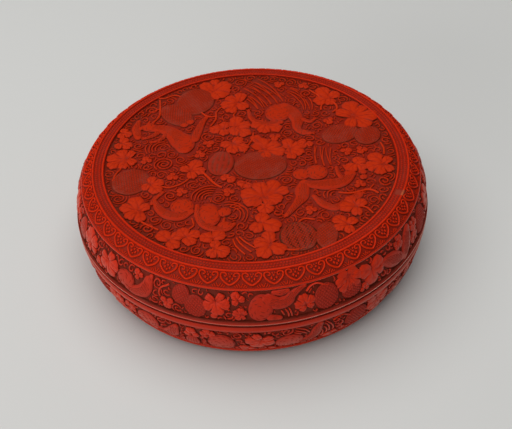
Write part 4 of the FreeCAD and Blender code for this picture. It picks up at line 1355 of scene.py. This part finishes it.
lidFrieze = [  # kind, angle, height, size, turn
    ("gourd", 200.5, 14, 15, 75), ("five", 208.3, 21, 13.5, 20), ("five", 219.5, 20, 13.5, 200),
    ("three", 214, 6, 6, 0), ("mass", 227.5, 13.5, (11.5, 10.0), 20),
    ("limb", 232, 12, [(-12, -7, 8), (-4, -7, 12), (6, -3, 14), (12, 5, 13), (14, 13, 10)], 0),
    ("limb", 236.5, 24, [(0, 0, 7), (2, 6, 5)], 0), ("three", 232.5, 26, 5.5, 40),
    ("vine", 241.5, 22, 9, 70), ("melon", 247.3, 23, 10.5, 80), ("melon", 251.8, 12, 12.5, 100),
    ("five", 258, 21.5, 12, 190), ("ball", 257.4, 5, 3.4, 0), ("three", 264.3, 26, 7, 30),
    ("vine", 261.5, 20, 7, 100), ("mass", 271, 15, (15.0, 11.5), 78),
    ("limb", 277, 19, [(-12, 4, 14), (-3, 0, 13), (6, 2, 12), (11, 7, 8), (18, 11, 5), (24, 13, 3)], 0),
    ("limb", 277, 29.5, [(-7, 1, 4), (0, 0, 6), (7, 1, 4)], 0),
    ("limb", 275, 6, [(-4, -3, 8), (4, -4, 6)], 0), ("comb", 273, 1, (12.0, 24.0), (0, 38)),
    ("five", 284, 13.5, 9.5, 15), ("vine", 288, 28, 11, 10), ("melon", 290.6, 14, 14.3, 90),
    ("fan", 298.4, 20.5, 12.8, 0), ("melon", 299.0, 6.5, 11, 0), ("trio", 307, 20.5, 15, 0),
    ("three", 303.6, 5, 5.5, 0),
    ("limb", 316, 13.5, [(-15, 6, 6), (-9, 4, 12), (0, 0, 17), (9, -5, 15), (16, -8, 9)], 0),
    ("limb", 324, 14, [(-4, -11, 12), (-1, -2, 17), (3, 8, 15), (7, 14, 9)], 0),
    ("melon", 336, 15, 15, 70), ("five", 346, 18, 13, 60), ("gourd", 357, 15, 15, 60),
    ("five", 7, 18, 13, 10), ("squirrel", 21, 14, 31, 3), ("melon", 38, 16, 14, 90),
    ("fan", 47, 20, 13, 10), ("three", 54, 12, 8, 60), ("gourd", 62, 15, 15, 110),
    ("five", 72, 18, 13, 130), ("turned", 86, 14, 31, -3), ("melon", 102, 15, 14.5, 80),
    ("five", 112, 18, 13, 40), ("squirrel", 127, 14, 31, 3), ("fan", 141, 20, 13, 0),
    ("melon", 151, 15, 14, 100), ("five", 161, 18, 13, 80), ("turned", 175, 14, 31, -3),
    ("five", 189, 18, 13, 30),
]
baseFrieze = [
    ("melon", 210, 20, 18, 80), ("five", 221, 31, 12, 30), ("three", 220, 12, 9, 40),
    ("mass", 234, 26, (14.0, 12.5), 60),
    ("limb", 240, 18, [(-12, -3, 12), (0, -5, 15), (8, 3, 14), (12, 12, 10), (15, 18, 6)], 0),
    ("three", 249.5, 31, 8, 0), ("gourd", 249, 13, 12, 80), ("five", 254.8, 36, 7, 10),
    ("mass", 258.5, 19, (17.0, 13.5), 80), ("five", 270.5, 27, 13.5, 160),
    ("mass", 279.3, 19, (14.0, 12.5), 20),
    ("limb", 285, 22, [(-10, -9, 10), (0, -8, 13), (7, 0, 12), (9, 10, 10), (12, 17, 6)], 0),
    ("comb", 279.3, 19, (15.0, 24.0), (25, 75)), ("comb", 285, 20, (16.0, 27.0), (-35, 60)),
    ("melon", 301.5, 26, 15, 85), ("fan", 310, 29, 13, 20), ("mass", 320, 22, (13.0, 11.5), -15),
    ("limb", 327, 20, [(-14, -6, 12), (0, -3, 15), (8, 5, 13), (13, 12, 8)], 0), ("three", 266, 9, 8, 30),
    ("three", 293, 8, 8, 70), ("three", 311, 9, 8, 0), ("three", 331, 9, 8, 50),
    ("five", 341, 24, 13, 70), ("melon", 351, 20, 16, 80), ("fan", 2, 25, 14, 10),
    ("squirrel", 17, 19, 36, 5), ("five", 33, 22, 14, 50), ("gourd", 45, 19, 19, 70),
    ("melon", 58, 20, 17, 90), ("five", 69, 24, 13, 140), ("turned", 84, 19, 36, -5),
    ("melon", 101, 20, 17, 80), ("fan", 112, 24, 14, 0), ("squirrel", 128, 19, 36, 6),
    ("five", 144, 24, 13, 20), ("gourd", 154, 19, 18, 110), ("five", 165, 22, 14, 90),
    ("turned", 181, 19, 35, -6), ("melon", 196, 20, 15, 80), ("ball", 229, 9, 4.5, 0),
    ("ball", 274, 6, 4, 0), ("vine", 296, 37, 10, 0), ("vine", 335, 34, 11, 20), ("vine", 9, 37, 11, 0),
    ("vine", 63, 37, 11, 10), ("vine", 106, 37, 11, -10), ("vine", 149, 37, 11, 0),
]
carveFrieze("lid_wall", carvedFaces["lidWall"], "lid", lidFrieze, 11)
carveFrieze("base_wall", carvedFaces["baseWall"], "base", baseFrieze, 23)


# Floor, lamps and camera.
stageLook = {"size": 9.0, "paper": (0.555, 0.555, 0.54), "world": (0.62, 0.62, 0.61), "worldStrength": 0.22,
             "wall": (0.56, 0.56, 0.55), "fadeFrom": 0.95, "fadeTo": 2.3, "stain": (0.50, 0.50, 0.485),
             "cloud": 3.0, "grain": 700.0, "roughness": 0.92}


def makeStage():
    half = stageLook["size"] / 2
    mesh = bpy.data.meshes.new("floor")
    corners = [(-half, -half, 0), (half, -half, 0), (half, half, 0), (-half, half, 0)]
    mesh.from_pydata(corners, [], [(0, 1, 2, 3)])
    floor = newObject("floor", mesh)
    material, tree, place = newFinish("pale_paper")
    cloud = ramp(tree, noise(tree, place, stageLook["cloud"], 2.0), [(0.3, 0.0), (0.7, 0.05)])
    tint = mixed(tree, cloud, colour(*stageLook["paper"]), colour(*stageLook["stain"]))
    values = {"Base Color": tint, "Roughness": stageLook["roughness"]}
    skin, output = closeFinish(tree, values, noise(tree, place, stageLook["grain"], 2.0), 0.05, 0.0001)
    # far from the box the floor fades into the wall, where the camera sees it
    away = addNode(tree, "ShaderNodeVectorMath", {0: place}, operation="LENGTH"), "Value"
    far = mapped(tree, away, stageLook["fadeFrom"], stageLook["fadeTo"], interpolation_type="SMOOTHSTEP")
    seen = compute(tree, "MULTIPLY", far, (addNode(tree, "ShaderNodeLightPath"), "Is Camera Ray"))
    glow = addNode(tree, "ShaderNodeEmission", {"Color": colour(*stageLook["wall"]), "Strength": 1.0})
    both = addNode(tree, "ShaderNodeMixShader", {0: seen, 1: (skin, "BSDF"), 2: (glow, "Emission")})
    tree.links.new(both.outputs["Shader"], output.inputs["Surface"])
    mesh.materials.append(material)
    world = bpy.data.worlds.new("room")
    world.use_nodes = True
    world.node_tree.nodes.clear()
    room = world.node_tree
    light = addNode(room, "ShaderNodeBackground",
                    {"Color": colour(*stageLook["world"]), "Strength": stageLook["worldStrength"]})
    wall = addNode(room, "ShaderNodeBackground", {"Color": colour(*stageLook["wall"]), "Strength": 1.0})
    rays = addNode(room, "ShaderNodeLightPath")
    seen = compute(room, "MAXIMUM", (rays, "Is Camera Ray"), (rays, "Is Glossy Ray"))
    seen = compute(room, "MAXIMUM", seen, (rays, "Is Transmission Ray"))
    both = addNode(room, "ShaderNodeMixShader", {0: seen, 1: (light, "Background"), 2: (wall, "Background")})
    addNode(room, "ShaderNodeOutputWorld", {"Surface": (both, "Shader")})
    bpy.context.scene.world = world


lamps = {  # place, aim, width and height, power
    "over": ((-0.44, 0.05, 2.5), (0, 0, 0.06), (4.0, 4.0), 86.0),
    "left": ((-1.95, -2.5, 0.8), (0, 0, 0.06), (3.4, 0.9), 50.0),
}


def makeLamps():
    for name, (place, aim, size, power) in lamps.items():
        data = bpy.data.lights.new(name, "AREA")
        data.shape, data.size, data.size_y, data.energy = "ELLIPSE", size[0], size[1], power
        lamp = newObject(name, data)
        lamp.location = place
        lamp.rotation_euler = (Vector(aim) - Vector(place)).to_track_quat("-Z", "Y").to_euler()


cameraSet = {"place": (0.0, -0.72724, 0.70125), "turn": (47.1886, 1.9173, -2.0499), "lens": 62.28,
             "sensor": 36.0, "nearest": 0.01}


def makeCamera():
    data = bpy.data.cameras.new("camera")
    data.lens, data.sensor_width = cameraSet["lens"], cameraSet["sensor"]
    data.clip_start = cameraSet["nearest"]
    camera = newObject("camera", data)
    camera.location = cameraSet["place"]
    camera.rotation_euler = [math.radians(angle) for angle in cameraSet["turn"]]
    bpy.context.scene.camera = camera
    bpy.context.scene.view_settings.view_transform = "Standard"


makeStage()
makeLamps()
makeCamera()
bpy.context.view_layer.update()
